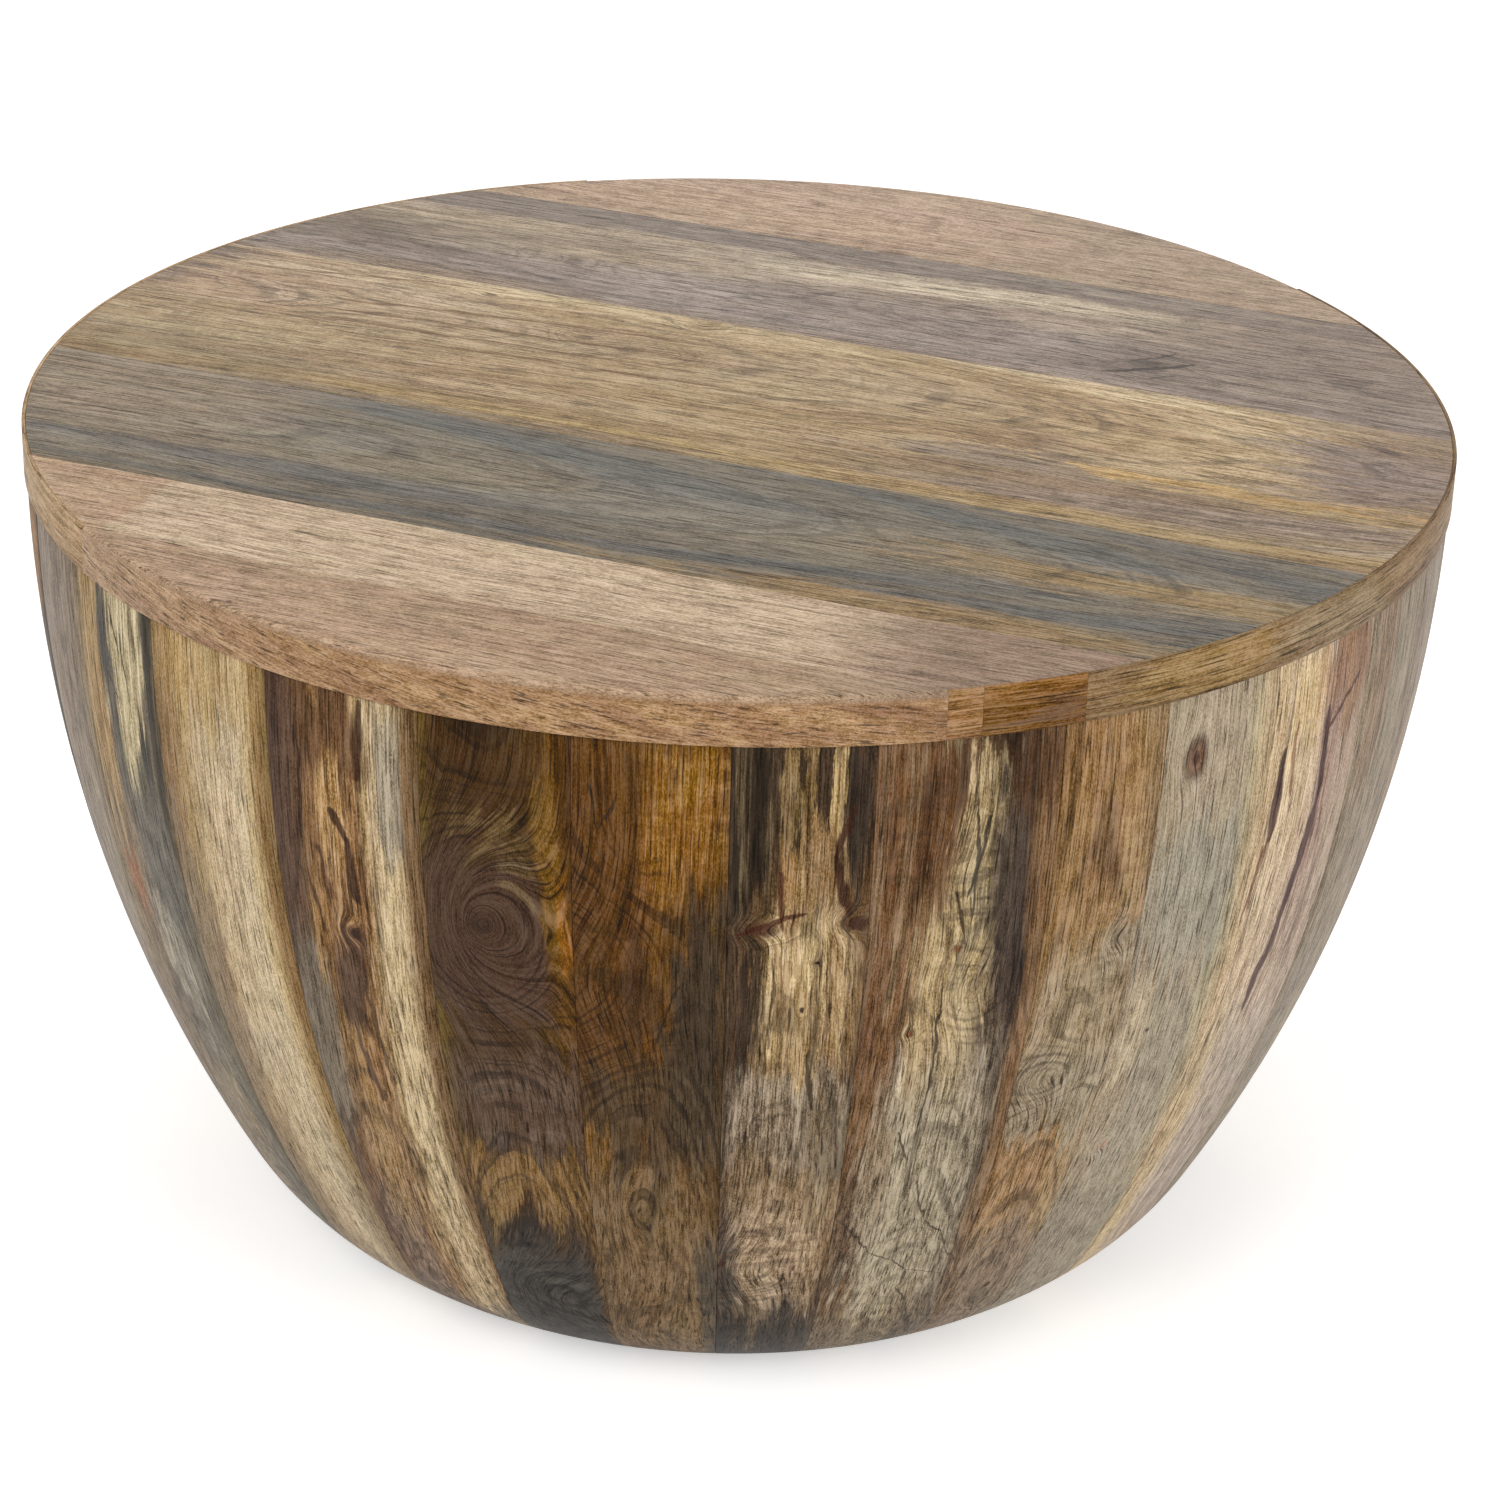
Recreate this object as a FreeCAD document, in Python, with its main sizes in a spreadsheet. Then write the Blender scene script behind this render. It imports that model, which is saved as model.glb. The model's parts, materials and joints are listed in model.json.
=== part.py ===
# Round coffee table: a bowl-shaped drum of coopered wooden staves under a flat top of edge-glued planks.
# Millimetres, +Z up, origin on the floor at the drum's centre. The front of the table faces -Y.
import FreeCAD
import Part
import Sketcher

import math
import os
import re

Vector = FreeCAD.Vector
doc = FreeCAD.newDocument("round_coffee_table")

# Driving dimensions: one cell each, with a note on what it measures.
SIZES = [
    ("table_diameter", 762, "across the top"),
    ("table_height", 457, "floor to top face"),
    ("top_thickness", 25, "planks of the top"),
    ("top_arris", 3, "rounding of the planks' upper edge"),
    ("plank_angle", -21.5, "degrees, grain of the top against +X"),
    ("front_plank_width", 146, "share of the diameter, front to back"),
    ("grey_plank_width", 144, "share of the diameter, front to back"),
    ("gold_plank_width", 196, "share of the diameter, front to back"),
    ("brown_plank_width", 153, "share of the diameter, front to back"),
    ("back_plank_width", 123, "share of the diameter, front to back"),
    ("lipping_thickness", 2, "strip over the planks' end grain"),
    ("lipping_arris", 0.5, "rounding of the lipping's upper edge"),
    ("lipping_half_angle", 53.5, "degrees either side of the grain"),
    ("filler_angle", 2.6, "degrees, make-up piece of the right lipping"),
    ("short_lipping_angle", 7.9, "degrees, next piece of the right lipping"),
    ("glue_line", 0.1, "gap where curved faces are glued"),
    ("rim_overhang", 1.5, "top past the staves"),
    ("first_stave_angle", -59.7, "degrees from the front to the left edge of stave 1"),
    ("stave_thickness", 22, "wall of the drum"),
    ("bow_radius", 800, "long curve of a stave's outside"),
    ("knee_radius", 134, "tight curve low on a stave"),
    ("foot_angle", 59, "degrees from upright at which the knee meets the foot"),
    ("foot_length", 36, "flat foot of a stave, towards the middle"),
    ("toe_height", 22, "thickness of a stave's foot"),
    ("block_height", 30, "corner block, down from the top"),
    ("block_depth", 35, "corner block, inwards from the staves"),
    ("block_angle", 9, "degrees, corner block round the drum"),
    ("seat_gap", 0.3, "corner block to stave"),
    ("batten_width", 60, "batten along the planks"),
    ("batten_thickness", 20, "batten, down from the top"),
    ("batten_share", 0.42, "batten's middle, as a share of the way out to the staves"),
    ("batten_end_gap", 12, "batten's end to the staves"),
    ("board_thickness", 15, "board that closes the base"),
    ("board_gap", 14, "board's edge to the staves"),
    ("glide_height", 3, "nylon glide under the feet"),
    ("glide_diameter", 22, "nylon glide"),
    ("screw_diameter", 4, "shank of every wood screw"),
    ("screw_head_diameter", 8, "countersunk head"),
    ("screw_head_height", 3, "countersunk head"),
    ("screw_point", 4, "pointed end"),
    ("screw_bite", 12, "length of a screw inside a plank"),
    ("base_screw_bite", 15, "length of a screw inside a stave's foot"),
    ("screw_clearance", 0.1, "hole round a screw"),
]
# Widths of the staves along the rim: one cut list, used again and again until the drum closes.
CUT_LIST = [75.5, 82.3, 86.2, 75.2, 74.0, 67.4, 91.3, 57.2, 72.6, 83.1]
STAVE_COUNT = 31
STAVES_PER_BASE_SCREW = 3
BLOCK_COUNT = 6
GLIDE_COUNT = 6

SIZES += [(f"stave_width_{place}", width, "cut list") for place, width in enumerate(CUT_LIST, 1)]
sheet = doc.addObject("Spreadsheet::Sheet", "Sizes")
for row, (alias, amount, note) in enumerate(SIZES, 1):
    sheet.set(f"A{row}", note)
    sheet.set(f"B{row}", str(amount))
    sheet.setAlias(f"B{row}", alias)
doc.recompute()

# Radii and heights that several pieces share, worked out from the driving dimensions.
RIM = "(table_diameter / 2)"
UNDERSIDE = "(table_height - top_thickness)"
DRUM = "(table_diameter / 2 - rim_overhang)"
INNER_BOW = "(bow_radius - stave_thickness)"
BOW_CENTRE = f"({DRUM} - bow_radius)"
KNEE_CENTRE_HEIGHT = "(glide_height + knee_radius * sin(foot_angle))"
BOW_END_ANGLE = f"asin(({UNDERSIDE} - {KNEE_CENTRE_HEIGHT}) / (bow_radius - knee_radius))"
KNEE_CENTRE = f"({BOW_CENTRE} + (bow_radius - knee_radius) * cos({BOW_END_ANGLE}))"
TOE_TOP = "(glide_height + toe_height)"
FOOT = f"({KNEE_CENTRE} + knee_radius * cos(foot_angle))"
TOE = f"({FOOT} - foot_length)"
TOE_SEAT = (
    f"({KNEE_CENTRE} + sqrt((knee_radius - stave_thickness) ^ 2 - ({KNEE_CENTRE_HEIGHT} - {TOE_TOP}) ^ 2))"
)
INNER_WALL = f"({DRUM} - stave_thickness - {INNER_BOW} + sqrt({INNER_BOW} ^ 2 - block_height ^ 2))"
BOARD_TOP = f"({TOE_TOP} + board_thickness)"


def with_cells(formula):
    """The formula with each size written as its spreadsheet cell."""
    names = "|".join(alias for alias, _, _ in SIZES)
    return re.sub(rf"\b({names})\b", r"Sizes.\1", formula)


def number(formula):
    return float(sheet.evalExpression(with_cells(formula)))


def bind(thing, **formulas):
    for name, formula in formulas.items():
        thing.setExpression(name, with_cells(formula))


def put(thing, x="0", y="0", z="0", turn="0"):
    """Places a thing at x, y, z in a frame turned about the table's axis by so many degrees."""
    across = f"({x}) * cos({turn}) - ({y}) * sin({turn})"
    along = f"({x}) * sin({turn}) + ({y}) * cos({turn})"
    bind(thing, Placement=f"placement(vector({across}; {along}; {z}); rotation(vector(0; 0; 1); {turn}))")


def outline(name, corners):
    """A closed section beside the axis, drawn anticlockwise. Each corner is a radius and a height, with the
    radius of the side that follows it if that side is an arc, marked - if the arc is hollow."""
    sketch = doc.addObject("Sketcher::SketchObject", name)
    sketch.Placement = FreeCAD.Placement(Vector(), FreeCAD.Rotation(Vector(1, 0, 0), 90))
    spots = [Vector(number(corner[0]), number(corner[1]), 0) for corner in corners]
    ends = []
    for side, corner in enumerate(corners):
        here = spots[side]
        there = spots[(side + 1) % len(spots)]
        if len(corner) == 2:
            sketch.addGeometry(Part.LineSegment(here, there))
            ends.append((1, 2))
            continue
        hollow = corner[2].startswith("-")
        radius = corner[2].lstrip("-")
        half = (there - here) * 0.5
        inward = Vector(-half.y, half.x, 0).normalize() * (-1 if hollow else 1)
        centre = here + half + inward * math.sqrt(number(radius) ** 2 - half.Length ** 2)
        first, last = (there, here) if hollow else (here, there)
        turns = [math.atan2(spot.y - centre.y, spot.x - centre.x) for spot in (first, last)]
        circle = Part.Circle(centre, Vector(0, 0, 1), number(radius))
        sketch.addGeometry(Part.ArcOfCircle(circle, turns[0], turns[1]))
        ends.append((2, 1) if hollow else (1, 2))
        sketch.addConstraint(Sketcher.Constraint("Radius", side, number(radius)))
        sketch.renameConstraint(sketch.ConstraintCount - 1, f"radius_{side}")
        bind(sketch, **{f"Constraints.radius_{side}": radius})
    for side, corner in enumerate(corners):
        following = (side + 1) % len(corners)
        start = ends[following][0]
        sketch.addConstraint(Sketcher.Constraint("Coincident", side, ends[side][1], following, start))
        for kind, axis, formula in (("DistanceX", -2, corner[0]), ("DistanceY", -1, corner[1])):
            if formula == "0":
                sketch.addConstraint(Sketcher.Constraint("PointOnObject", side, ends[side][0], axis))
                continue
            sketch.addConstraint(Sketcher.Constraint(kind, -1, 1, side, ends[side][0], number(formula)))
            sketch.renameConstraint(sketch.ConstraintCount - 1, f"{kind}_{side}")
            bind(sketch, **{f"Constraints.{kind}_{side}": formula})
    return sketch


def turned(label, section, angle="360"):
    """The section swept round the axis by so many degrees."""
    solid = doc.addObject("Part::Revolution", label)
    solid.Source = section
    solid.Base = Vector(0, 0, 0)
    solid.Axis = Vector(0, 0, 1)
    solid.Solid = True
    bind(solid, Angle=angle)
    return solid


def box(label, length, width, height):
    solid = doc.addObject("Part::Box", label)
    bind(solid, Length=length, Width=width, Height=height)
    return solid


def gathered(label, members):
    group = doc.addObject("Part::Compound", label)
    group.Links = members
    return group


def without(label, solid, tools):
    cut = doc.addObject("Part::Cut", label)
    cut.Base = solid
    cut.Tool = gathered(f"{label}_tools", tools)
    return cut


nodes = []

# Screws: a countersunk head at height 0 and a shank that goes up from it, and the hole for each.


def screw_section(name, length):
    return outline(name, [
        ("0", "0"),
        ("screw_head_diameter / 2", "0"),
        ("screw_diameter / 2", "screw_head_height"),
        ("screw_diameter / 2", f"{length} - screw_point"),
        ("0", length),
    ])


def hole_section(name, length):
    return outline(name, [
        ("0", "0"),
        ("screw_head_diameter / 2 + screw_clearance", "0"),
        ("screw_diameter / 2 + screw_clearance", "screw_head_height"),
        ("screw_diameter / 2 + screw_clearance", f"{length} + screw_clearance"),
        ("0", f"{length} + screw_clearance"),
    ])


BLOCK_SCREW = "(block_height + screw_bite)"
BATTEN_SCREW = "(batten_thickness + screw_bite)"
BASE_SCREW = "(board_thickness + base_screw_bite)"
block_screw_section = screw_section("block_screw_section", BLOCK_SCREW)
block_hole_section = hole_section("block_hole_section", BLOCK_SCREW)
batten_screw_section = screw_section("batten_screw_section", BATTEN_SCREW)
batten_hole_section = hole_section("batten_hole_section", BATTEN_SCREW)
base_screw_section = screw_section("base_screw_section", BASE_SCREW)
base_hole_section = hole_section("base_hole_section", BASE_SCREW)

# Corner blocks: glued into the angle under the top and screwed up into it, between the battens' ends.
BLOCK_OUTSIDE = f"({INNER_WALL} - seat_gap)"
BLOCK_FOOT = f"({UNDERSIDE} - block_height)"
block_section = outline("block_section", [
    (f"{BLOCK_OUTSIDE} - block_depth", BLOCK_FOOT),
    (BLOCK_OUTSIDE, BLOCK_FOOT),
    (BLOCK_OUTSIDE, UNDERSIDE),
    (f"{BLOCK_OUTSIDE} - block_depth", UNDERSIDE),
])
block_screws = []
block_holes = []
for count in range(1, BLOCK_COUNT + 1):
    turn = f"(plank_angle + {(count - 0.5) * 360 / BLOCK_COUNT})"
    screw = turned(f"block_screw_{count}", block_screw_section)
    hole = turned(f"block_hole_{count}", block_hole_section)
    for thing in (screw, hole):
        put(thing, x=f"{BLOCK_OUTSIDE} - block_depth / 2", z=BLOCK_FOOT, turn=turn)
    blank = turned(f"block_blank_{count}", block_section, "block_angle")
    put(blank, turn=f"{turn} - block_angle / 2")
    nodes.append(without(f"corner_block_{count}", blank, [hole]))
    block_screws.append(screw)
    block_holes.append(hole)
nodes.append(gathered("block_screws", block_screws))

# Planks: strips of the round slab, each named after its colour, between its near and its far joint.
PLANKS = ["front", "grey", "gold", "brown", "back"]
all_planks = " + ".join(f"{plank}_plank_width" for plank in PLANKS)


def plank_joint(count):
    """How far in front of the centre the joint behind so many planks lies."""
    behind = " + ".join(["0"] + [f"{plank}_plank_width" for plank in PLANKS[:count]])
    return f"(table_diameter * (0.5 - ({behind}) / ({all_planks})))"


# Battens: two bars across all the planks, with one screw into each plank.
BATTEN_OFFSET = f"({INNER_WALL} * batten_share)"
BATTEN_HALF = f"(sqrt({INNER_WALL} ^ 2 - ({BATTEN_OFFSET} + batten_width / 2) ^ 2) - batten_end_gap)"
ends = [BATTEN_HALF] + [plank_joint(count) for count in range(1, 5)] + [f"-{BATTEN_HALF}"]
screw_spots = {plank: f"-({ends[count]} + {ends[count + 1]}) / 2" for count, plank in enumerate(PLANKS)}
batten_screws = []
batten_holes = []
for side, sign in (("left", "-"), ("right", "")):
    holes = []
    for plank, spot in screw_spots.items():
        screw = turned(f"batten_screw_{side}_{plank}", batten_screw_section)
        hole = turned(f"batten_hole_{side}_{plank}", batten_hole_section)
        for thing in (screw, hole):
            put(
                thing,
                x=f"{sign}{BATTEN_OFFSET}",
                y=spot,
                z=f"{UNDERSIDE} - batten_thickness",
                turn="plank_angle",
            )
        batten_screws.append(screw)
        holes.append(hole)
    blank = box(f"batten_blank_{side}", "batten_width", f"2 * {BATTEN_HALF}", "batten_thickness")
    put(
        blank,
        x=f"{sign}{BATTEN_OFFSET} - batten_width / 2",
        y=f"-{BATTEN_HALF}",
        z=f"{UNDERSIDE} - batten_thickness",
        turn="plank_angle",
    )
    nodes.append(without(f"batten_{side}", blank, holes))
    batten_holes += holes
nodes.append(gathered("batten_screws", batten_screws))

# The slab that the planks are cut from, and the rebates for the lipping at both ends of the grain.
slab_section = outline("slab_section", [
    ("0", UNDERSIDE),
    (RIM, UNDERSIDE),
    (RIM, "table_height - top_arris", "top_arris"),
    (f"{RIM} - top_arris", "table_height"),
    ("0", "table_height"),
])
REBATE = f"({RIM} - lipping_thickness - glue_line)"
rebate_section = outline("rebate_section", [
    (REBATE, f"{UNDERSIDE} - top_thickness"),
    (f"{RIM} + lipping_thickness", f"{UNDERSIDE} - top_thickness"),
    (f"{RIM} + lipping_thickness", "table_height + top_thickness"),
    (REBATE, "table_height + top_thickness"),
])
rebates = []
for side, end in (("right", "0"), ("left", "180")):
    rebate = turned(f"rebate_{side}", rebate_section, "2 * lipping_half_angle")
    put(rebate, turn=f"plank_angle + {end} - lipping_half_angle")
    rebates.append(rebate)

for count, plank in enumerate(PLANKS):
    slab = turned(f"slab_{plank}", slab_section)
    width = f"({plank_joint(count)} - {plank_joint(count + 1)})"
    strip = box(f"strip_{plank}", "table_diameter * 2", width, "top_thickness * 3")
    put(
        strip,
        x="-table_diameter",
        y=f"-{plank_joint(count)}",
        z=f"{UNDERSIDE} - top_thickness",
        turn="plank_angle",
    )
    board = doc.addObject("Part::Common", f"board_{plank}")
    board.Base = slab
    board.Tool = strip
    holes = [hole for hole in batten_holes if hole.Label.endswith(plank)]
    nodes.append(without(f"plank_{plank}", board, rebates + holes + block_holes))

# Lipping: strips round the rim over the end grain, in one length on the left and pieced out on the right.
lipping_section = outline("lipping_section", [
    (f"{RIM} - lipping_thickness", UNDERSIDE),
    (RIM, UNDERSIDE),
    (RIM, "table_height - lipping_arris", "lipping_arris"),
    (f"{RIM} - lipping_arris", "table_height"),
    (f"{RIM} - lipping_thickness", "table_height"),
])
RIGHT_START = "plank_angle - lipping_half_angle"
LIPPINGS = [
    ("lipping_right_filler", RIGHT_START, "filler_angle"),
    ("lipping_right_short", f"{RIGHT_START} + filler_angle", "short_lipping_angle"),
    (
        "lipping_right_long",
        f"{RIGHT_START} + filler_angle + short_lipping_angle",
        "2 * lipping_half_angle - filler_angle - short_lipping_angle",
    ),
    ("lipping_left", f"{RIGHT_START} + 180", "2 * lipping_half_angle"),
]
for label, start, span in LIPPINGS:
    strip = turned(label, lipping_section, span)
    put(strip, turn=start)
    nodes.append(strip)

# Staves: one bowed section with a knee and a flat foot, swept by each stave's share of the full turn.
stave_section = outline("stave_section", [
    (TOE, "glide_height"),
    (FOOT, "glide_height", "knee_radius"),
    (
        f"{KNEE_CENTRE} + knee_radius * cos({BOW_END_ANGLE})",
        f"{KNEE_CENTRE_HEIGHT} - knee_radius * sin({BOW_END_ANGLE})",
        "bow_radius",
    ),
    (DRUM, UNDERSIDE),
    (f"{DRUM} - stave_thickness", UNDERSIDE, f"-{INNER_BOW}"),
    (
        f"{KNEE_CENTRE} + (knee_radius - stave_thickness) * cos({BOW_END_ANGLE})",
        f"{KNEE_CENTRE_HEIGHT} - (knee_radius - stave_thickness) * sin({BOW_END_ANGLE})",
        "-(knee_radius - stave_thickness)",
    ),
    (TOE_SEAT, TOE_TOP),
    (TOE, TOE_TOP),
])
widths = [f"stave_width_{count % len(CUT_LIST) + 1}" for count in range(STAVE_COUNT)]
girth = " + ".join(widths)


def stave_turn(amount):
    """Degrees from +X to the point that lies so many millimetres round the cut list."""
    return f"first_stave_angle - 90 + 360 * ({amount}) / ({girth})"


base_screws = []
base_holes = []
for count in range(STAVE_COUNT):
    before = " + ".join(["0"] + widths[:count])
    stave = turned(f"stave_{count + 1:02d}", stave_section, f"360 * {widths[count]} / ({girth})")
    put(stave, turn=stave_turn(before))
    if count % STAVES_PER_BASE_SCREW != 1:
        nodes.append(stave)
        continue
    stave.Label = f"stave_blank_{count + 1:02d}"
    middle = stave_turn(f"{before} + {widths[count]} / 2")
    screw = turned(f"base_screw_{count + 1:02d}", base_screw_section)
    hole = turned(f"base_hole_{count + 1:02d}", base_hole_section)
    reach = f"(({TOE} + {TOE_SEAT} - board_gap) / 2)"
    for thing in (screw, hole):
        flip = f"rotation(vector(0; 0; 1); {middle}) * rotation(vector(1; 0; 0); 180)"
        spot = f"vector({reach} * cos({middle}); {reach} * sin({middle}); {BOARD_TOP})"
        bind(thing, Placement=f"placement({spot}; {flip})")
    nodes.append(without(f"stave_{count + 1:02d}_drilled", stave, [hole]))
    nodes[-1].Label = f"stave_{count + 1:02d}"
    base_screws.append(screw)
    base_holes.append(hole)
nodes.append(gathered("base_screws", base_screws))

# Base board: a disc that closes the drum, laid on the staves' feet and screwed down into them.
blank = doc.addObject("Part::Cylinder", "base_board_blank")
bind(blank, Radius=f"{TOE_SEAT} - board_gap", Height="board_thickness")
put(blank, z=TOE_TOP)
nodes.append(without("base_board", blank, base_holes))

# Glides: nylon discs under the feet, on which the table stands.
glides = []
for count in range(GLIDE_COUNT):
    glide = doc.addObject("Part::Cylinder", f"foot_glide_{count + 1}")
    bind(glide, Radius="glide_diameter / 2", Height="glide_height")
    put(glide, x=f"{FOOT} - foot_length / 2", turn=f"{(count + 0.5) * 360 / GLIDE_COUNT}")
    glides.append(glide)
nodes.append(gathered("foot_glides", glides))

doc.recompute()
for thing in doc.Objects:
    if "Invalid" in thing.State or "Error" in thing.State:
        raise RuntimeError(f"{thing.Label} did not build: {thing.State}")
os.makedirs("parts", exist_ok=True)
for node in nodes:
    if node.Shape.isNull() or not node.Shape.isValid() or not node.Shape.Solids:
        raise RuntimeError(f"{node.Label} has no valid solid")
    node.Shape.exportStep(f"parts/{node.Label}.step")
    print(node.Label, len(node.Shape.Solids), round(node.Shape.Volume / 1000, 1), "cm3")
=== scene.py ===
import bpy
import json
import math
import random
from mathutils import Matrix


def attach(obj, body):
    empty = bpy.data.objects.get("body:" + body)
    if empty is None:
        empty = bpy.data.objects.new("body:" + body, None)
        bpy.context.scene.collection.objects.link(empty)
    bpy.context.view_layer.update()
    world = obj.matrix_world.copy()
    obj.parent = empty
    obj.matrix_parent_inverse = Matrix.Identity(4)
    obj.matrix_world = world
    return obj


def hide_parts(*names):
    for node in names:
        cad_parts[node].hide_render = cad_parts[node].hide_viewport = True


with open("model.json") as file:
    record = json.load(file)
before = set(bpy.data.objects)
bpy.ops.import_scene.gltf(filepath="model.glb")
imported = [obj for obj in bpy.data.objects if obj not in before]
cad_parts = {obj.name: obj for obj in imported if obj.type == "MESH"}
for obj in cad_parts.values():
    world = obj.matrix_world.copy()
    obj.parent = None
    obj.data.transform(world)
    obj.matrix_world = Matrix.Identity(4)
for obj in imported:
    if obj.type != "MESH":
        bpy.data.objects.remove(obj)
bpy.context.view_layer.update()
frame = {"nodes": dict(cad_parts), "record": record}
scene = bpy.context.scene
mm = 0.001
print("frame loaded,", len(frame["nodes"]), "CAD nodes")

# photo view: a long lens from the front, a little above the top
photoView = {"place": (0.0, -2.07074, 1.24639), "turn": (64.224, -1.5114, 0.4403), "lens": 98.685, "sensor": 36.0,
             "farEnd": 60.0}


def setCamera(view):
    bpy.ops.object.select_all(action="DESELECT")
    turn = [math.radians(angle) for angle in view["turn"]]
    bpy.ops.object.camera_add(location=view["place"], rotation=turn)
    camera = bpy.context.object
    camera.name = "photoCamera"
    camera.data.lens = view["lens"]
    camera.data.sensor_width = view["sensor"]
    camera.data.clip_end = view["farEnd"]
    camera.data.dof.use_dof = False
    scene.camera = camera


setCamera(photoView)
print("camera set")


# shader helpers: sockets and plain values can both be fed in
def addNode(tree, kind, **settings):
    node = tree.nodes.new(kind)
    for key, value in settings.items():
        setattr(node, key, value)
    return node


def feed(tree, socket, value):
    if isinstance(value, bpy.types.NodeSocket):
        tree.links.new(value, socket)
    else:
        socket.default_value = value


def calc(tree, operation, *values):
    node = addNode(tree, "ShaderNodeMath", operation=operation)
    for socket, value in zip(node.inputs, values):
        feed(tree, socket, value)
    return node.outputs[0]


def times(tree, first, second):
    return calc(tree, "MULTIPLY", first, second)


def addTimes(tree, part, amount, base):  # a share of the part on top of the base
    return calc(tree, "MULTIPLY_ADD", part, amount, base)


def minus(tree, value, less):
    return calc(tree, "SUBTRACT", value, less)


def centred(tree, value):
    return minus(tree, value, 0.5)


def mixColour(tree, amount, under, over, mode="MIX"):
    node = addNode(tree, "ShaderNodeMix", data_type="RGBA", blend_type=mode)
    for index, value in ((0, amount), (6, under), (7, over)):
        feed(tree, node.inputs[index], value)
    return node.outputs[2]


def mixVector(tree, amount, under, over):
    node = addNode(tree, "ShaderNodeMix", data_type="VECTOR")
    for index, value in ((0, amount), (4, under), (5, over)):
        feed(tree, node.inputs[index], value)
    return node.outputs[1]


def soften(tree, value, low, high, outLow=0.0, outHigh=1.0):
    node = addNode(tree, "ShaderNodeMapRange", interpolation_type="SMOOTHSTEP")
    for index, item in enumerate((value, low, high, outLow, outHigh)):
        feed(tree, node.inputs[index], item)
    return node.outputs[0]


def tone(code):  # a screen colour as the renderer counts it
    parts = [int(code[at:at + 2], 16) / 255 for at in (0, 2, 4)]
    linear = [part / 12.92 if part <= 0.04045 else ((part + 0.055) / 1.055) ** 2.4 for part in parts]
    return (*linear, 1.0)


lacquer = {"lift": 0.055, "deepest": 0.003}


def lacquered(code, gloss):  # the sheen lightens a tone a little, so the wood under it is that much deeper
    return (*[max(part - lacquer["lift"] * gloss, lacquer["deepest"]) for part in tone(code)[:3]], 1.0)


def objectPlace(tree):
    return addNode(tree, "ShaderNodeTexCoord").outputs["Object"]


def noiseFrom(tree, kind, label, point, detail, rough):
    noise = addNode(tree, "ShaderNodeTexNoise", noise_dimensions=kind)
    for name, value in ((label, point), ("Scale", 1.0), ("Detail", detail), ("Roughness", rough)):
        feed(tree, noise.inputs[name], value)
    return noise.outputs["Fac"]


def grainNoise(tree, point, stretch, detail=2.0, rough=0.5):
    scaled = addNode(tree, "ShaderNodeVectorMath", operation="MULTIPLY")
    feed(tree, scaled.inputs[0], point)
    feed(tree, scaled.inputs[1], stretch)
    return noiseFrom(tree, "3D", "Vector", scaled.outputs[0], detail, rough)


def ringNoise(tree, reach, gap, seed):  # gap in millimetres
    return noiseFrom(tree, "1D", "W", addTimes(tree, reach, 1000 / gap, seed * 3.7), 3.0, 0.6)


def addBump(tree, shader, height, strength, distance):
    bump = addNode(tree, "ShaderNodeBump")
    bump.inputs["Strength"].default_value = strength
    bump.inputs["Distance"].default_value = distance
    feed(tree, bump.inputs["Height"], height)
    feed(tree, shader.inputs["Normal"], bump.outputs[0])


def newMaterial(name):
    material = bpy.data.materials.new(name)
    material.use_nodes = True
    tree = material.node_tree
    return material, tree, tree.nodes["Principled BSDF"]


def startGroup(name, inputs, outputs):
    group = bpy.data.node_groups.new(name, "ShaderNodeTree")
    for label in inputs:
        group.interface.new_socket(label, in_out="INPUT", socket_type="NodeSocketFloat")
    for label in outputs:
        group.interface.new_socket(label, in_out="OUTPUT", socket_type="NodeSocketFloat")
    return group, group.nodes.new("NodeGroupInput").outputs, group.nodes.new("NodeGroupOutput").inputs


def useGroup(tree, group, **values):
    node = addNode(tree, "ShaderNodeGroup", node_tree=group)
    for label, value in values.items():
        feed(tree, node.inputs[label], value)
    return node.outputs


def makePatchGroup():  # a rounded, ragged area of another colour
    group, given, result = startGroup("softPatch", [
        "across", "along", "ragged", "midAcross", "midAlong", "halfAcross", "halfAlong", "soft"], ["mask"])
    u = calc(group, "DIVIDE", minus(group, given["across"], given["midAcross"]), given["halfAcross"])
    v = calc(group, "DIVIDE", minus(group, given["along"], given["midAlong"]), given["halfAlong"])
    squares = [times(group, item, item) for item in (u, v)]
    fourths = [times(group, item, item) for item in squares]
    reach = calc(group, "POWER", calc(group, "ADD", *fourths), 0.25)
    inside = calc(group, "ADD", minus(group, 1.0, reach), given["ragged"])
    low = times(group, given["soft"], -1.0)
    feed(group, result["mask"], soften(group, inside, low, given["soft"]))
    return group


def makeKnotGroup():  # a bell over the knot that bends and closes the grain lines
    group, given, result = startGroup("knotSwirl", [
        "across", "along", "midAcross", "midAlong", "size", "stretch"], ["bell", "offset"])
    offset = minus(group, given["across"], given["midAcross"])
    u = calc(group, "DIVIDE", offset, given["size"])
    longSize = times(group, given["size"], given["stretch"])
    v = calc(group, "DIVIDE", minus(group, given["along"], given["midAlong"]), longSize)
    far = calc(group, "ADD", times(group, u, u), times(group, v, v))
    feed(group, result["bell"], calc(group, "EXPONENT", times(group, far, -1.0)))
    feed(group, result["offset"], offset)
    return group


crackForm = {"blunt": 0.4, "softness": (-0.45, 0.3)}  # how bluntly a crack tapers, and its edge in widths


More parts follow.
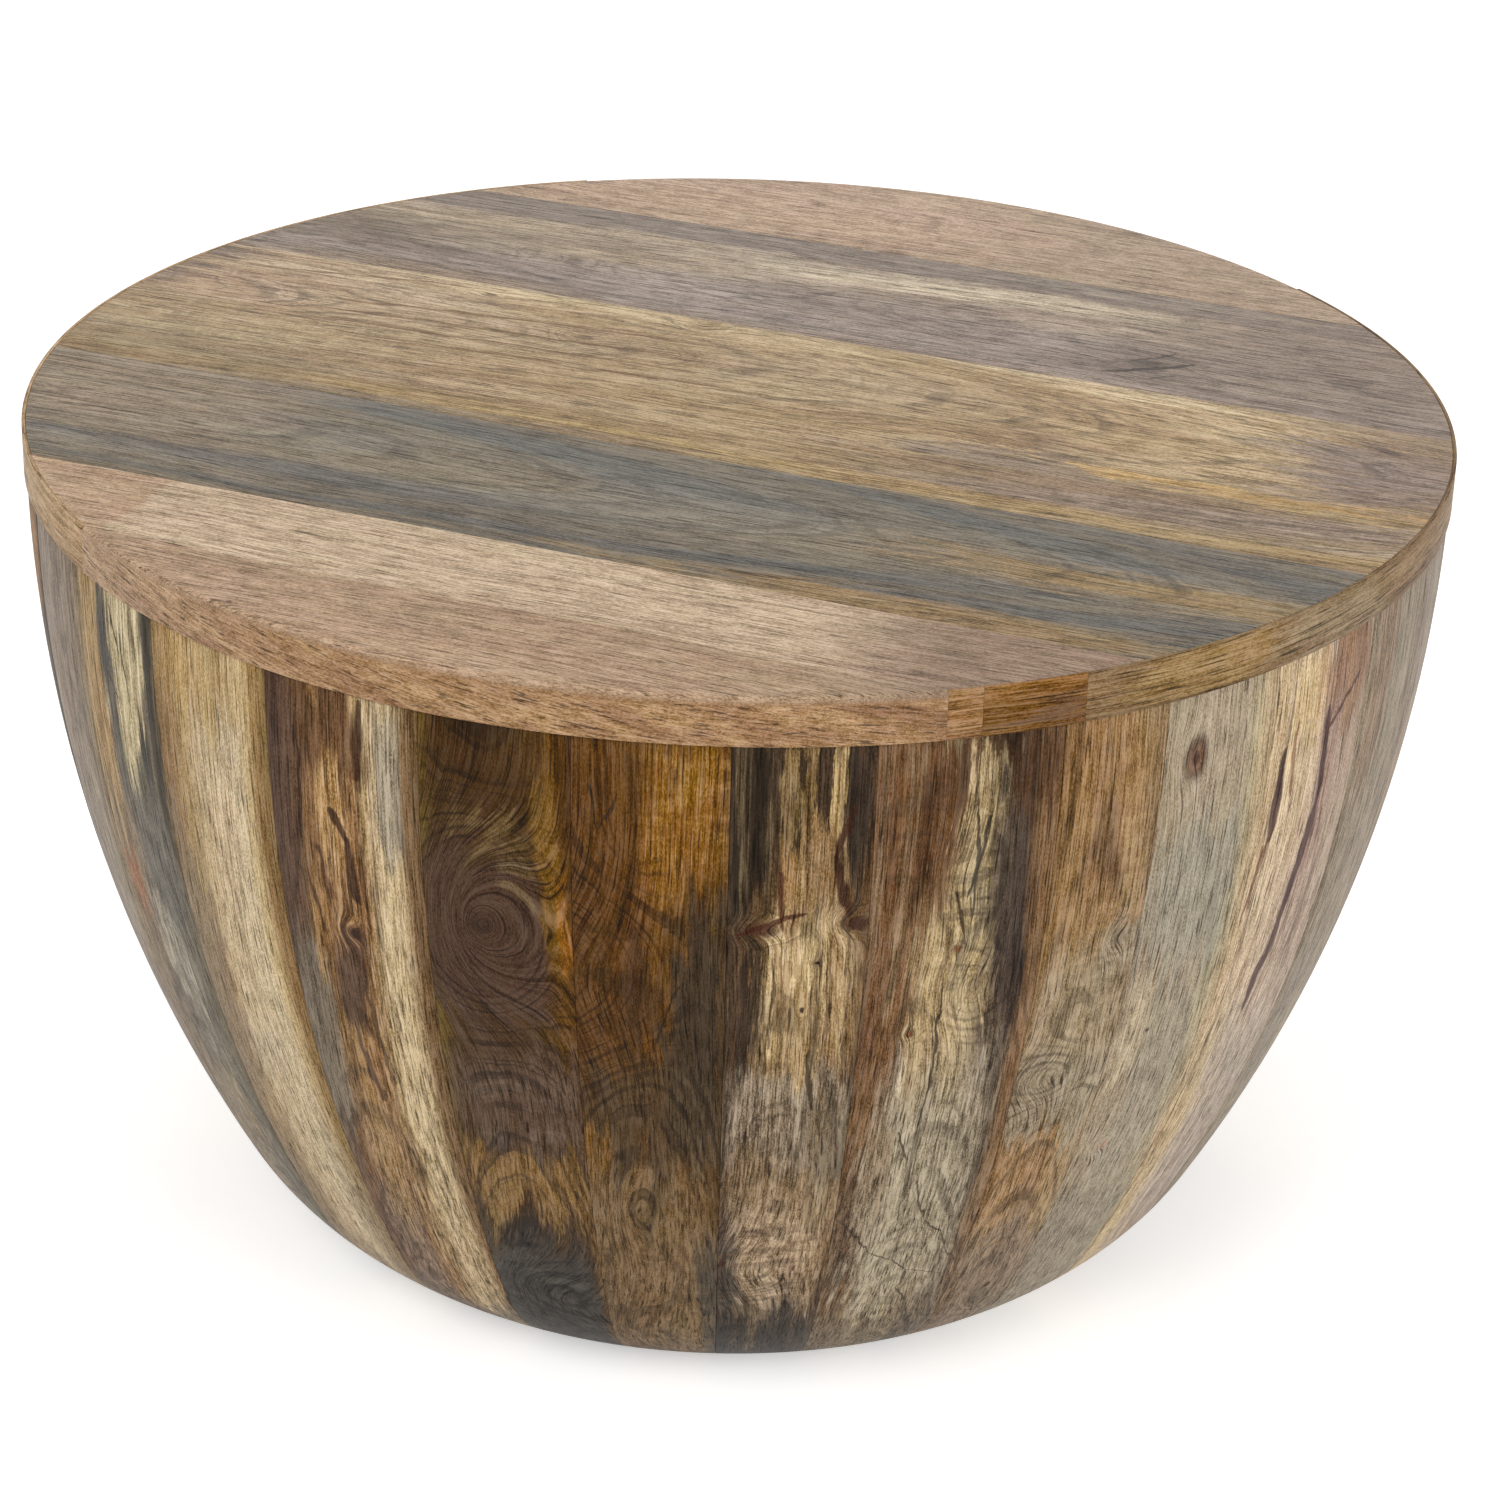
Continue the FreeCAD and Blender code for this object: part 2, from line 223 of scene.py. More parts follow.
def makeCrackGroup(form):  # a tapering dark line from one spot to another
    group, given, result = startGroup("crackLine", [
        "across", "along", "fromAcross", "fromAlong", "toAcross", "toAlong", "width"], ["mask"])
    run = minus(group, given["toAlong"], given["fromAlong"])
    part = calc(group, "DIVIDE", minus(group, given["along"], given["fromAlong"]), run)
    part = calc(group, "MINIMUM", calc(group, "MAXIMUM", part, 0.0), 1.0)
    drift = times(group, minus(group, given["toAcross"], given["fromAcross"]), part)
    middle = calc(group, "ADD", given["fromAcross"], drift)
    off = calc(group, "ABSOLUTE", minus(group, given["across"], middle))
    belly = times(group, times(group, part, minus(group, 1.0, part)), 4.0)
    thick = times(group, calc(group, "POWER", belly, form["blunt"]), given["width"])
    low, high = (times(group, given["width"], share) for share in form["softness"])
    feed(group, result["mask"], soften(group, minus(group, thick, off), low, high))
    return group


patchGroup = makePatchGroup()
knotGroup = makeKnotGroup()
crackGroup = makeCrackGroup(crackForm)

# what every finished board shares; a board's own look can change any of it
boardFinish = {
    "sway": 7, "feather": 6, "rag": 1.0, "swirl": 0.4, "short": 2.2,  # how the grain bends, and how its edges fray
    "contrast": 1.1, "threads": 1.6, "hair": 3.0, "grit": 2.0, "mottle": 1.0, "pores": 0.75,
    "streak": ("3a3028", 0.25), "pale": ("cdb98f", 0.0), "heart": ("6b5236", 0.0),
    "ringGap": 3.0, "ringInk": 0.35, "pith": (0, -60), "tilt": 0.0,  # growth rings, and where the log's heart lies
    "patches": [], "curls": [], "knots": [], "cracks": [], "gloss": 0.08, "rough": 0.47, "bump": 0.22,
}
# grain patterns: repeats in a metre across the board and along it, then detail and roughness
grainPatterns = {
    "slow": (9, 3, 2.0, 0.5), "ripple": (38, 17, 3.0, 0.6), "fibre": (60, 3, 6.0, 0.7), "strand": (240, 4, 5.0, 0.7),
    "fine": (900, 14, 3.0, 0.64), "torn": (150, 24, 4.0, 0.65), "pale": (70, 2.5, 6.0, 0.74),
    "streak": (110, 3, 6.0, 0.74), "grit": (1500, 600, 2.0, 0.6), "mottle": (170, 80, 3.0, 0.65),
    "pore": (1150, 36, 1.0, 0.5),
}
# the top's rim: where its face ends, how its fibres run, and its sawn tones, paler to the left
rimLook = {"middle": 0.4445, "radius": 0.381, "face": (0.4525, 0.4555), "slant": 0.14, "chop": 3.0,
           "tones": ("85603d", "a98259"), "sawnShare": (-0.82, -0.64, 0.3, 0.75)}
plainEdge = (0.28, 0.0)  # how soft and how torn a patch's edge is, where its look doesn't say
footFlat, footHeart = 0.2, 0.45  # how flat fibres and rings lie where the foot of a stave cuts through them


def farOff(tree, first, second):  # length of two steps taken together
    squares = [times(tree, part, part) for part in (first, second)]
    return calc(tree, "POWER", calc(tree, "ADD", *squares), 0.5)


def boardAxes(tree, axes, turn):  # depth into the board, across it and along its grain
    mapping = addNode(tree, "ShaderNodeMapping")
    feed(tree, mapping.inputs["Vector"], objectPlace(tree))
    feed(tree, mapping.inputs["Rotation"], (0.0, 0.0, math.radians(-turn)))
    parts = addNode(tree, "ShaderNodeSeparateXYZ")
    feed(tree, parts.inputs[0], mapping.outputs[0])
    x, y, z = parts.outputs
    if axes == "stave":
        return x, y, z
    if axes == "plank":
        return z, y, x
    around = calc(tree, "ARCTAN2", y, x)  # the grain of a bent strip follows the rim
    return (farOff(tree, x, y), minus(tree, z, rimLook["middle"]),
            times(tree, around, rimLook["radius"]))


def grainPoint(tree, depth, across, along, seed):  # each seed reads another part of the noise
    joined = addNode(tree, "ShaderNodeCombineXYZ")
    for socket, value in zip(joined.inputs, (depth, across, along)):
        feed(tree, socket, value)
    shifted = addNode(tree, "ShaderNodeVectorMath", operation="ADD")
    feed(tree, shifted.inputs[0], joined.outputs[0])
    feed(tree, shifted.inputs[1], (seed * 1.37, seed * 0.71, seed * 2.13))
    return shifted.outputs[0]


def pattern(tree, point, kind, flat=1.0, short=1.0):
    across, along, detail, rough = grainPatterns[kind]
    return grainNoise(tree, point, (across * flat, across, along * short), detail, rough)


def areaMask(tree, spot, across, along, edge, soft):  # a patch's middle and half size, in millimetres
    midAcross, midAlong, halfAcross, halfAlong = (part * mm for part in spot)
    return useGroup(tree, patchGroup, across=across, along=along, ragged=edge, midAcross=midAcross, midAlong=midAlong,
                    halfAcross=halfAcross, halfAlong=halfAlong, soft=soft)["mask"]


def tinted(tree, colour, mask, amount, code, gloss):  # lays a tone over what the mask covers
    return mixColour(tree, times(tree, mask, amount), colour, lacquered(code, gloss))


def bandRamp(tree, bands, place, gloss):  # bands of colour side by side across the board
    ramp = addNode(tree, "ShaderNodeValToRGB")
    first, width = bands[0][0], bands[-1][0] - bands[0][0]
    elements = ramp.color_ramp.elements
    while len(elements) < len(bands):
        elements.new(0.5)
    for element, (spot, code) in zip(elements, bands):
        element.position = (spot - first) / width
        element.color = lacquered(code, gloss)
    feed(tree, ramp.inputs[0], addTimes(tree, place, 1 / (width * mm), -first / width))
    return ramp.outputs[0]


def figuredWood(name, look, axes, turn):
    board = {**boardFinish, **look}
    gloss, seed, feather, rag = board["gloss"], board["seed"], board["feather"], board["rag"]
    material, tree, shader = newMaterial(name)
    depth, across, along = boardAxes(tree, axes, turn)
    still = grainPoint(tree, depth, across, along, seed)
    ripple = pattern(tree, still, "ripple")
    slowOff, rippleOff = centred(tree, pattern(tree, still, "slow")), centred(tree, ripple)

    # the grain sways, and parts round the knots
    bend = addTimes(tree, slowOff, board["sway"] * 2 * mm, across)
    rise = times(tree, rippleOff, 0.004)
    bells = []
    for mark in board["knots"]:
        swirl = useGroup(tree, knotGroup, across=across, along=along, midAcross=mark["at"][0] * mm,
                         midAlong=mark["at"][1] * mm, size=mark["size"] * mm, stretch=mark["stretch"])
        pushed = times(tree, swirl["offset"], swirl["bell"])
        bend = addTimes(tree, pushed, -mark["push"], bend)
        rise = addTimes(tree, swirl["bell"], mark["rings"] * mark["size"] * mm, rise)
        bells.append(swirl["bell"])
    flow = grainPoint(tree, depth, addTimes(tree, rise, board["swirl"], bend), along, seed)
    if axes == "plank":  # on the rim the fibres follow the edge, a little aslant
        side = soften(tree, depth, *rimLook["face"], 1.0, 0.0)
        reach, height, around = boardAxes(tree, "bent", turn)
        slant = addTimes(tree, around, rimLook["slant"], height)
        chopped = times(tree, around, rimLook["chop"])
        flow = mixVector(tree, side, flow, grainPoint(tree, reach, slant, chopped, seed))
    flat = footFlat if axes == "stave" else 1.0
    fibre, strand, fine = (pattern(tree, flow, kind, flat, board["short"]) for kind in ("fibre", "strand", "fine"))
    fibreOff, strandOff, fineOff = (centred(tree, part) for part in (fibre, strand, fine))
    warped = addTimes(tree, fibreOff, feather * 2 * mm, bend)
    warped = addTimes(tree, strandOff, feather * mm, warped)
    drawn = addTimes(tree, fibreOff, feather * 20 * mm, along)
    drawn = addTimes(tree, strandOff, feather * 12 * mm, drawn)
    ragged = addTimes(tree, strandOff, 1.1 * rag, times(tree, rippleOff, 0.6 * rag))
    tornOff = centred(tree, pattern(tree, flow, "torn", flat))

    colour = bandRamp(tree, board["bands"], warped, gloss)
    for patch in board["patches"]:
        *spot, code, strength, soft, torn = patch + plainEdge[len(patch) - 6:]
        edge = addTimes(tree, tornOff, torn, ragged) if torn else ragged
        colour = tinted(tree, colour, areaMask(tree, spot, warped, drawn, edge, soft), strength, code, gloss)

    # ripples across the grain where the wood is curly
    for *spot, gap, code, strength in board["curls"]:
        waves = grainNoise(tree, still, (300 / gap * flat, 300 / gap, 1000 / gap), 3.0, 0.6)
        area = areaMask(tree, spot, warped, drawn, ragged, 0.5)
        colour = tinted(tree, colour, area, soften(tree, waves, 0.46, 0.6, 0.0, strength), code, gloss)

    # pale and dark streaks along the grain
    for kind in ("pale", "streak"):
        code, amount = board[kind]
        if amount:
            streaks = soften(tree, pattern(tree, flow, kind, flat), 0.53, 0.66)
            colour = tinted(tree, colour, streaks, amount, code, gloss)

    # growth rings: how far the cut face lies from the heart of the log
    pithAcross, pithDepth = (part * mm for part in board["pith"])
    fromPith = minus(tree, warped, pithAcross)
    fromHeart = times(tree, minus(tree, depth, pithDepth), footHeart if axes == "stave" else 1.0)
    fromHeart = addTimes(tree, along, board["tilt"], fromHeart)
    ringAt = calc(tree, "ADD", farOff(tree, fromPith, fromHeart), rise)
    code, amount = board["heart"]
    if amount:  # broad bands of darker heartwood follow the rings
        broad = soften(tree, ringNoise(tree, ringAt, board["ringGap"] * 7, seed), 0.42, 0.62)
        colour = tinted(tree, colour, broad, amount, code, gloss)
    ink = soften(tree, ringNoise(tree, ringAt, board["ringGap"], seed), 0.47, 0.64)
    ink = times(tree, ink, soften(tree, ripple, 0.36, 0.6, 0.15, 1.0))
    colour = mixColour(tree, times(tree, ink, board["ringInk"]), colour, tone("4a3826"), "MULTIPLY")

    for mark, bell in zip(board["knots"], bells):
        if mark["dark"]:
            heart = addTimes(tree, strandOff, 0.3, addTimes(tree, rippleOff, 0.4, bell))
            heart = soften(tree, heart, mark["edge"], 0.97)
            colour = tinted(tree, colour, heart, mark["dark"], mark["code"], gloss)

    # cracks wander a little on their way
    wander = addTimes(tree, rippleOff, 0.014, across)
    wander = addTimes(tree, strandOff, 0.006, wander)
    cracked = 0.0
    for *sizes, code in board["cracks"]:
        fromAcross, fromAlong, toAcross, toAlong, width = (part * mm for part in sizes)
        mask = useGroup(tree, crackGroup, across=wander, along=along, fromAcross=fromAcross, fromAlong=fromAlong,
                        toAcross=toAcross, toAlong=toAlong, width=width)["mask"]
        colour = tinted(tree, colour, mask, 0.9, code, gloss)
        cracked = calc(tree, "MAXIMUM", cracked, mask)
    if axes == "plank":  # the sawn edge is darker than the sanded face
        dark, pale = (lacquered(code, gloss) for code in rimLook["tones"])
        sawn = mixColour(tree, soften(tree, fibre, 0.35, 0.65), dark, pale)
        # less of the sawn tone shows on the left part of the rim than elsewhere
        sawnShown = soften(tree, around, *rimLook["sawnShare"])
        colour = mixColour(tree, times(tree, side, sawnShown), colour, sawn)

    # fibres, hairs and pores
    grit, mottle = (centred(tree, pattern(tree, still, kind)) for kind in ("grit", "mottle"))
    light = 1.0
    for part, amount in ((fibreOff, "contrast"), (strandOff, "threads"), (fineOff, "hair"), (grit, "grit"),
                         (mottle, "mottle")):
        light = addTimes(tree, part, board[amount], light)
    light = calc(tree, "SMOOTH_MIN", light, 1.42, 0.5)
    hue = addNode(tree, "ShaderNodeHueSaturation")
    feed(tree, hue.inputs["Color"], colour)
    feed(tree, hue.inputs["Value"], calc(tree, "MAXIMUM", light, 0.2))
    feed(tree, hue.inputs["Saturation"], soften(tree, light, 0.4, 1.7, 1.14, 0.8))
    feed(tree, hue.inputs["Hue"], addTimes(tree, fibreOff, 0.04, 0.5))
    pores = soften(tree, pattern(tree, flow, "pore", flat), 0.58, 0.7)
    colour = mixColour(tree, times(tree, pores, board["pores"]), hue.outputs[0], tone("3f3023"), "MULTIPLY")
    feed(tree, shader.inputs["Base Color"], colour)

    sheen = addTimes(tree, fineOff, 0.2, board["rough"])
    feed(tree, shader.inputs["Roughness"], addTimes(tree, pores, 0.12, sheen))
    shader.inputs["Specular IOR Level"].default_value = gloss
    height = addTimes(tree, pores, -0.6, calc(tree, "ADD", fine, strand))
    height = addTimes(tree, cracked, -1.2, height)
    addBump(tree, shader, height, board["bump"], 0.0006)
    return material


def knot(across, along, size, code="", stretch=1.8, push=0.6, rings=1.0, dark=0.8, edge=0.66):  # in millimetres
    return {"at": (across, along), "size": size, "code": code, "stretch": stretch, "push": push, "rings": rings,
            "dark": dark, "edge": edge}


# staves: one bowed section, turned about the table's middle for each stave
staveForm = {
    "rimRadius": 0.3795, "top": 0.432, "bow": 0.8, "knee": 0.134, "footAngle": 59.0, "thick": 0.022,
    "footLength": 0.036, "floorGap": 0.003, "toe": 0.022, "bowRows": 26, "kneeRows": 12, "turnSteps": 7,
    "arris": 0.0005, "firstEdge": -59.7, "count": 31,
    "widths": (75.5, 82.3, 86.2, 75.2, 74.0, 67.4, 91.3, 57.2, 72.6, 83.1),
}
shellForm = {"weld": 0.00002, "sharpEdge": 50.0, "arrisSteps": 2, "smoothBelow": 35.0}


def only(thing):
    bpy.ops.object.select_all(action="DESELECT")
    thing.select_set(True)
    bpy.context.view_layer.objects.active = thing


def editAll(thing):
    only(thing)
    bpy.ops.object.mode_set(mode="EDIT")
    bpy.ops.mesh.select_all(action="SELECT")


def tidyShell(thing):
    editAll(thing)
    bpy.ops.mesh.remove_doubles(threshold=shellForm["weld"])
    bpy.ops.mesh.normals_make_consistent(inside=False)
    bpy.ops.object.mode_set(mode="OBJECT")


def breakEdges(thing, width, angle=shellForm["sharpEdge"]):  # the light rub of sandpaper along every edge
    only(thing)
    bevel = thing.modifiers.new("arris", "BEVEL")
    bevel.width = width
    bevel.segments = shellForm["arrisSteps"]
    bevel.limit_method = "ANGLE"
    bevel.angle_limit = math.radians(angle)
    bevel.harden_normals = False
    bpy.ops.object.modifier_apply(modifier="arris")
    bpy.ops.object.shade_smooth_by_angle(angle=math.radians(shellForm["smoothBelow"]))


def staveRows(form):
    kneeHeight = form["floorGap"] + form["knee"] * math.sin(math.radians(form["footAngle"]))
    bowEnd = math.asin((form["top"] - kneeHeight) / (form["bow"] - form["knee"]))
    bowCentre = form["rimRadius"] - form["bow"]
    kneeCentre = bowCentre + (form["bow"] - form["knee"]) * math.cos(bowEnd)
    foot = kneeCentre + form["knee"] * math.cos(math.radians(form["footAngle"]))
    inner = form["knee"] - form["thick"]
    toeTop = form["floorGap"] + form["toe"]
    seatAngle = math.asin((kneeHeight - toeTop) / inner)
    rows = [((foot - form["footLength"], form["floorGap"]), (foot - form["footLength"], toeTop)),
            ((foot, form["floorGap"]), (kneeCentre + inner * math.cos(seatAngle), toeTop))]
    for step in range(1, form["kneeRows"] + 1):
        angle = seatAngle + (bowEnd - seatAngle) * step / form["kneeRows"]
        rows.append(tuple((kneeCentre + radius * math.cos(angle), kneeHeight - radius * math.sin(angle))
                          for radius in (form["knee"], inner)))
    for step in range(1, form["bowRows"] + 1):
        angle = bowEnd * (1 - step / form["bowRows"])
        rows.append(tuple((bowCentre + radius * math.cos(angle), form["top"] - radius * math.sin(angle))
                          for radius in (form["bow"], form["bow"] - form["thick"])))
    return rows


def makeSection(form):
    rows = staveRows(form)
    bpy.ops.object.select_all(action="DESELECT")
    bpy.ops.mesh.primitive_grid_add(x_subdivisions=1, y_subdivisions=len(rows) - 1, size=2)
    section = bpy.context.object
    for vertex in section.data.vertices:
        row = round((vertex.co.y + 1) / 2 * (len(rows) - 1))
        radius, height = rows[row][0 if vertex.co.x > 0 else 1]
        vertex.co = (radius, 0.0, height)
    section.name = "staveSection"
    return section


def spinSolid(thing, start, span, steps):
    only(thing)
    thing.rotation_euler = (0.0, 0.0, math.radians(start))
    bpy.ops.object.transform_apply(location=True, rotation=True, scale=True)
    editAll(thing)
    bpy.ops.mesh.spin(steps=steps, angle=math.radians(-span), center=(0, 0, 0), axis=(0, 0, 1))
    bpy.ops.object.mode_set(mode="OBJECT")
    tidyShell(thing)


def copyOf(thing, name):
    only(thing)
    bpy.ops.object.duplicate()
    copy = bpy.context.object
    copy.name = name
    copy.data.name = name
    return copy


def dress(piece, material, node):
    piece.data.materials.clear()
    piece.data.materials.append(material)
    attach(piece, "root")
    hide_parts(node)


# looks of the staves seen in the photo, across from the stave's middle and up from the floor, in millimetres
staveLooks = {}
staveLooks[31] = {
    "bands": [(-40, "857566"), (-10, "8d7d6c"), (20, "827260"), (40, "927d5f")],
    "patches": [(-18, 330, 12, 40, "97806a", 0.5), (10, 260, 10, 60, "938672", 0.5)],
    "streak": ("62554a", 0.3), "ringInk": 0.2, "pith": (10, 210),
}
staveLooks[1] = {
    "bands": [(-38, "7c6c54"), (-15, "8b7962"), (5, "847a6a"), (25, "716857"), (38, "6d604e")],
    "patches": [(-27, 385, 13, 85, "a98858", 0.85), (8, 385, 17, 66, "c9b78f", 0.9, 0.25, 2),
        (34, 378, 4, 70, "3f3931", 0.9), (-11, 405, 5, 30, "45433f", 0.85), (-6, 350, 5, 36, "55504a", 0.85),
        (19, 328, 8, 18, "3c3a35", 0.8), (16, 285, 20, 34, "6c675f", 0.7), (-26, 250, 9, 22, "9a6238", 0.7),
        (2, 230, 15, 26, "aaa18e", 0.6), (5, 130, 7, 40, "947f5c", 0.6), (-10, 170, 9, 30, "5f574c", 0.6)],
    "cracks": [(-2, 424, 6, 398, 0.9, "3a2f26"), (-12, 392, 2, 372, 0.8, "4a4038"), (8, 412, 12, 372, 0.7, "51463c")],
    "streak": ("3c3933", 0.55), "pith": (0, 190),
}
staveLooks[2] = {
    "bands": [(-42, "83663f"), (-32, "93764f"), (-20, "aa8e64"), (-9, "c4ad89"), (20, "cab694"), (27, "bfa679"),
        (33, "917349"), (42, "7c633c")],
    "patches": [(-30, 230, 12, 90, "86745e", 0.75, 0.3, 2), (-5, 190, 14, 20, "b3a28c", 0.4, 0.5),
        (-6, 418, 34, 24, "b3935e", 0.75, 0.6), (-34, 60, 20, 70, "8a755b", 0.8, 0.5),
        (30, 60, 14, 70, "8d785d", 0.8, 0.5), (0, 20, 46, 24, "937e64", 0.7, 0.5)],
    "contrast": 0.5, "threads": 0.8, "hair": 2.2, "mottle": 0.5, "streak": ("7f6a4d", 0.3), "ringInk": 0.12,
    "pith": (8, 200),
}
staveLooks[3] = {
    "bands": [(-44, "503829"), (-32, "644936"), (-22, "7f5f3e"), (-8, "977048"), (4, "a07a50"), (12, "b59a70"),
        (16, "c4ac86"), (28, "c1a880"), (34, "7d6142"), (44, "644b30")],
    "patches": [(-12, 410, 26, 28, "64472f", 0.8, 0.3, 2), (-34, 365, 9, 60, "584437", 0.6),
        (-8, 362, 7, 30, "bd9866", 0.8), (-3, 335, 5, 26, "c29c6b", 0.7), (-30, 230, 12, 60, "7b705f", 0.8),
        (-19, 300, 5, 30, "a07a4c", 0.7), (25, 388, 7, 38, "938979", 0.75), (-5, 272, 10, 24, "553f32", 0.9),
        (-14, 210, 7, 40, "9a774b", 0.6), (-12, 80, 12, 40, "877160", 0.8), (8, 20, 40, 22, "6c6054", 0.7),
        (-6, 142, 12, 50, "a6885f", 0.7)],
    "knots": [knot(0, 298, 8, "36261f", stretch=0.9, push=0.8, rings=1.8, dark=0.95, edge=0.5),
        knot(-13, 52, 8, "4f3c30", stretch=1.6)],
    "cracks": [(11, 430, 9, 386, 3.0, "3a2117"), (-9, 368, 1, 350, 3.0, "3a2419"), (1, 354, 5, 316, 3.0, "3c261b"),
        (-17, 345, -12, 308, 1.2, "4a3020"), (-24, 330, -20, 292, 1.0, "4a3020"), (8, 345, 10, 300, 1.0, "6b4c30"),
        (-10, 250, -2, 190, 1.6, "55402f"), (3, 262, 6, 205, 1.2, "5f4833"), (-24, 400, -26, 345, 1.3, "3d2b22")],
    "streak": ("4a3828", 0.6), "ringInk": 0.4, "pith": (-10, 250),
}
staveLooks[4] = {
    "bands": [(-38, "6c561f"), (-33, "5a431d"), (-26, "4b361c"), (-5, "4a341d"), (15, "4d371d"), (27, "654618"),
        (34, "593b15"), (38, "48301a")],
    "patches": [(-10, 312, 30, 50, "533e31", 0.9), (-4, 408, 30, 22, "462e12", 0.7), (24, 350, 6, 55, "7f5c26", 0.7),
        (30, 318, 4, 22, "9a6322", 0.7), (-2, 374, 18, 7, "7d6540", 0.5), (8, 352, 9, 10, "846c46", 0.45),
        (0, 212, 38, 36, "5d493a", 0.85), (0, 152, 36, 24, "8a6a3f", 0.9), (0, 50, 40, 62, "423d38", 0.95, 0.5),
        (31, 90, 5, 70, "6f5335", 0.8)],
    "knots": [knot(-8, 322, 34, "4a3527", stretch=1.6, push=0.4, rings=1.9, dark=0.4, edge=0.25),
        knot(-8, 322, 9, "2f231d", stretch=1.2, push=0.2, rings=2.0, dark=0.55, edge=0.5),
        knot(0, 62, 30, stretch=1.1, push=0.3, rings=0.9, dark=0.0)],
    "curls": [(0, 205, 32, 26, 8, "6d5a4b", 0.6), (0, 60, 34, 40, 9, "57524a", 0.5)],
    "streak": ("2f2318", 0.4), "swirl": 0.95, "contrast": 0.8, "threads": 1.2, "ringGap": 2.4, "ringInk": 0.6,
    "pith": (-5, 236),
}
staveLooks[5] = {
    "bands": [(-38, "5d3e1c"), (-15, "613f1a"), (5, "6c481c"), (22, "63451f"), (38, "483722")],
    "patches": [(14, 392, 20, 42, "85581c", 0.85), (20, 412, 10, 16, "946f35", 0.6, 0.3, 3),
        (-22, 402, 14, 32, "63401a", 0.7), (20, 268, 13, 75, "3d3226", 0.9, 0.3, 2),
        (-6, 282, 9, 26, "40301f", 0.6, 0.3, 3), (0, 212, 30, 36, "52422f", 0.8), (-27, 185, 9, 20, "8a6532", 0.7),
        (-4, 85, 34, 90, "7f6646", 0.85), (26, 60, 7, 65, "4d463d", 0.85)],
    "knots": [knot(-44, 300, 52, stretch=0.9, push=0.2, dark=0.0),
        knot(-6, 140, 13, stretch=2.4, push=0.5, rings=1.15, dark=0.0),
        knot(-4, 40, 26, stretch=1.5, push=0.3, rings=0.9, dark=0.0)],
    "cracks": [(-27, 408, -24, 384, 0.9, "33261a"), (-14, 404, -23, 384, 0.8, "3a2a1d"),
        (14, 300, 2, 262, 0.9, "33261a")],
    "curls": [(16, 398, 20, 34, 9, "a0763c", 0.6), (-20, 300, 14, 60, 11, "3f2d1b", 0.5),
        (-4, 60, 26, 50, 9, "8f7554", 0.5)],
    "streak": ("33261a", 0.5), "ringGap": 2.6, "ringInk": 0.6, "pith": (-6, 262),
}
staveLooks[6] = {
    "bands": [(-35, "403226"), (-24, "5f4932"), (-14, "7d6444"), (2, "8d7350"), (14, "84694a"), (24, "725639"),
        (35, "5f4730")],
    "patches": [(0, 396, 36, 48, "433426", 0.95), (-5, 404, 6, 36, "8d734a", 0.85, 0.2, 6),
        (13, 406, 4, 30, "b99c6a", 0.9, 0.2, 5), (-24, 392, 9, 50, "2b2219", 0.95, 0.25, 2),
        (24, 400, 6, 30, "382d24", 0.9), (6, 362, 12, 20, "a3845c", 0.8, 0.3, 3), (-8, 352, 5, 20, "a17d4e", 0.8),
        (4, 292, 22, 46, "c4aa7e", 0.92), (-22, 280, 9, 44, "382c22", 0.85, 0.25, 4),
        (4, 280, 18, 50, "8b6b45", 0.6, 0.2, 6), (0, 210, 34, 32, "9c8d7a", 0.85),
        (20, 200, 11, 24, "4f4534", 0.8, 0.3, 2), (0, 165, 30, 16, "90795b", 0.8), (-3, 110, 24, 38, "b39a7c", 0.95),
        (-27, 70, 10, 60, "4d4740", 0.85), (0, 32, 40, 42, "403a35", 0.95, 0.45),
        (0, 196, 28, 34, "9c866a", 0.4, 0.6)],
    "knots": [knot(-17, 333, 13, "4a2e21", stretch=0.45, push=0.3, rings=1.4, dark=0.9, edge=0.45),
        knot(28, 336, 11, "3b2419", stretch=0.7, push=0.5, rings=1.5, dark=0.95, edge=0.5),
        knot(10, 314, 2.8, "2f241c", stretch=0.8, dark=0.95), knot(4, 286, 2.4, "2f241c", stretch=1.5, dark=0.95),
        knot(-10, 104, 24, stretch=1.2, push=0.3, rings=1.25, dark=0.0)],
    "cracks": [(26, 402, 16, 372, 2.2, "3d251a"), (16, 375, 25, 340, 2.8, "3d251a"),
        (-9, 366, -6, 332, 1.3, "4a2a1a"), (2, 343, -27, 330, 3.6, "48281b"), (8, 262, 12, 222, 1.0, "3f3428"),
        (-4, 300, -5, 250, 0.7, "6a573f"), (14, 312, 15, 256, 0.7, "6a573f"), (-10, 318, -11, 262, 0.8, "5a4833")],
    "curls": [(-3, 108, 24, 36, 7, "7d6650", 0.75)],
    "streak": ("2b2119", 0.7), "pale": ("b89c70", 0.3), "contrast": 2.0, "ringGap": 2.4, "ringInk": 0.45,
    "pith": (-6, 258),
}
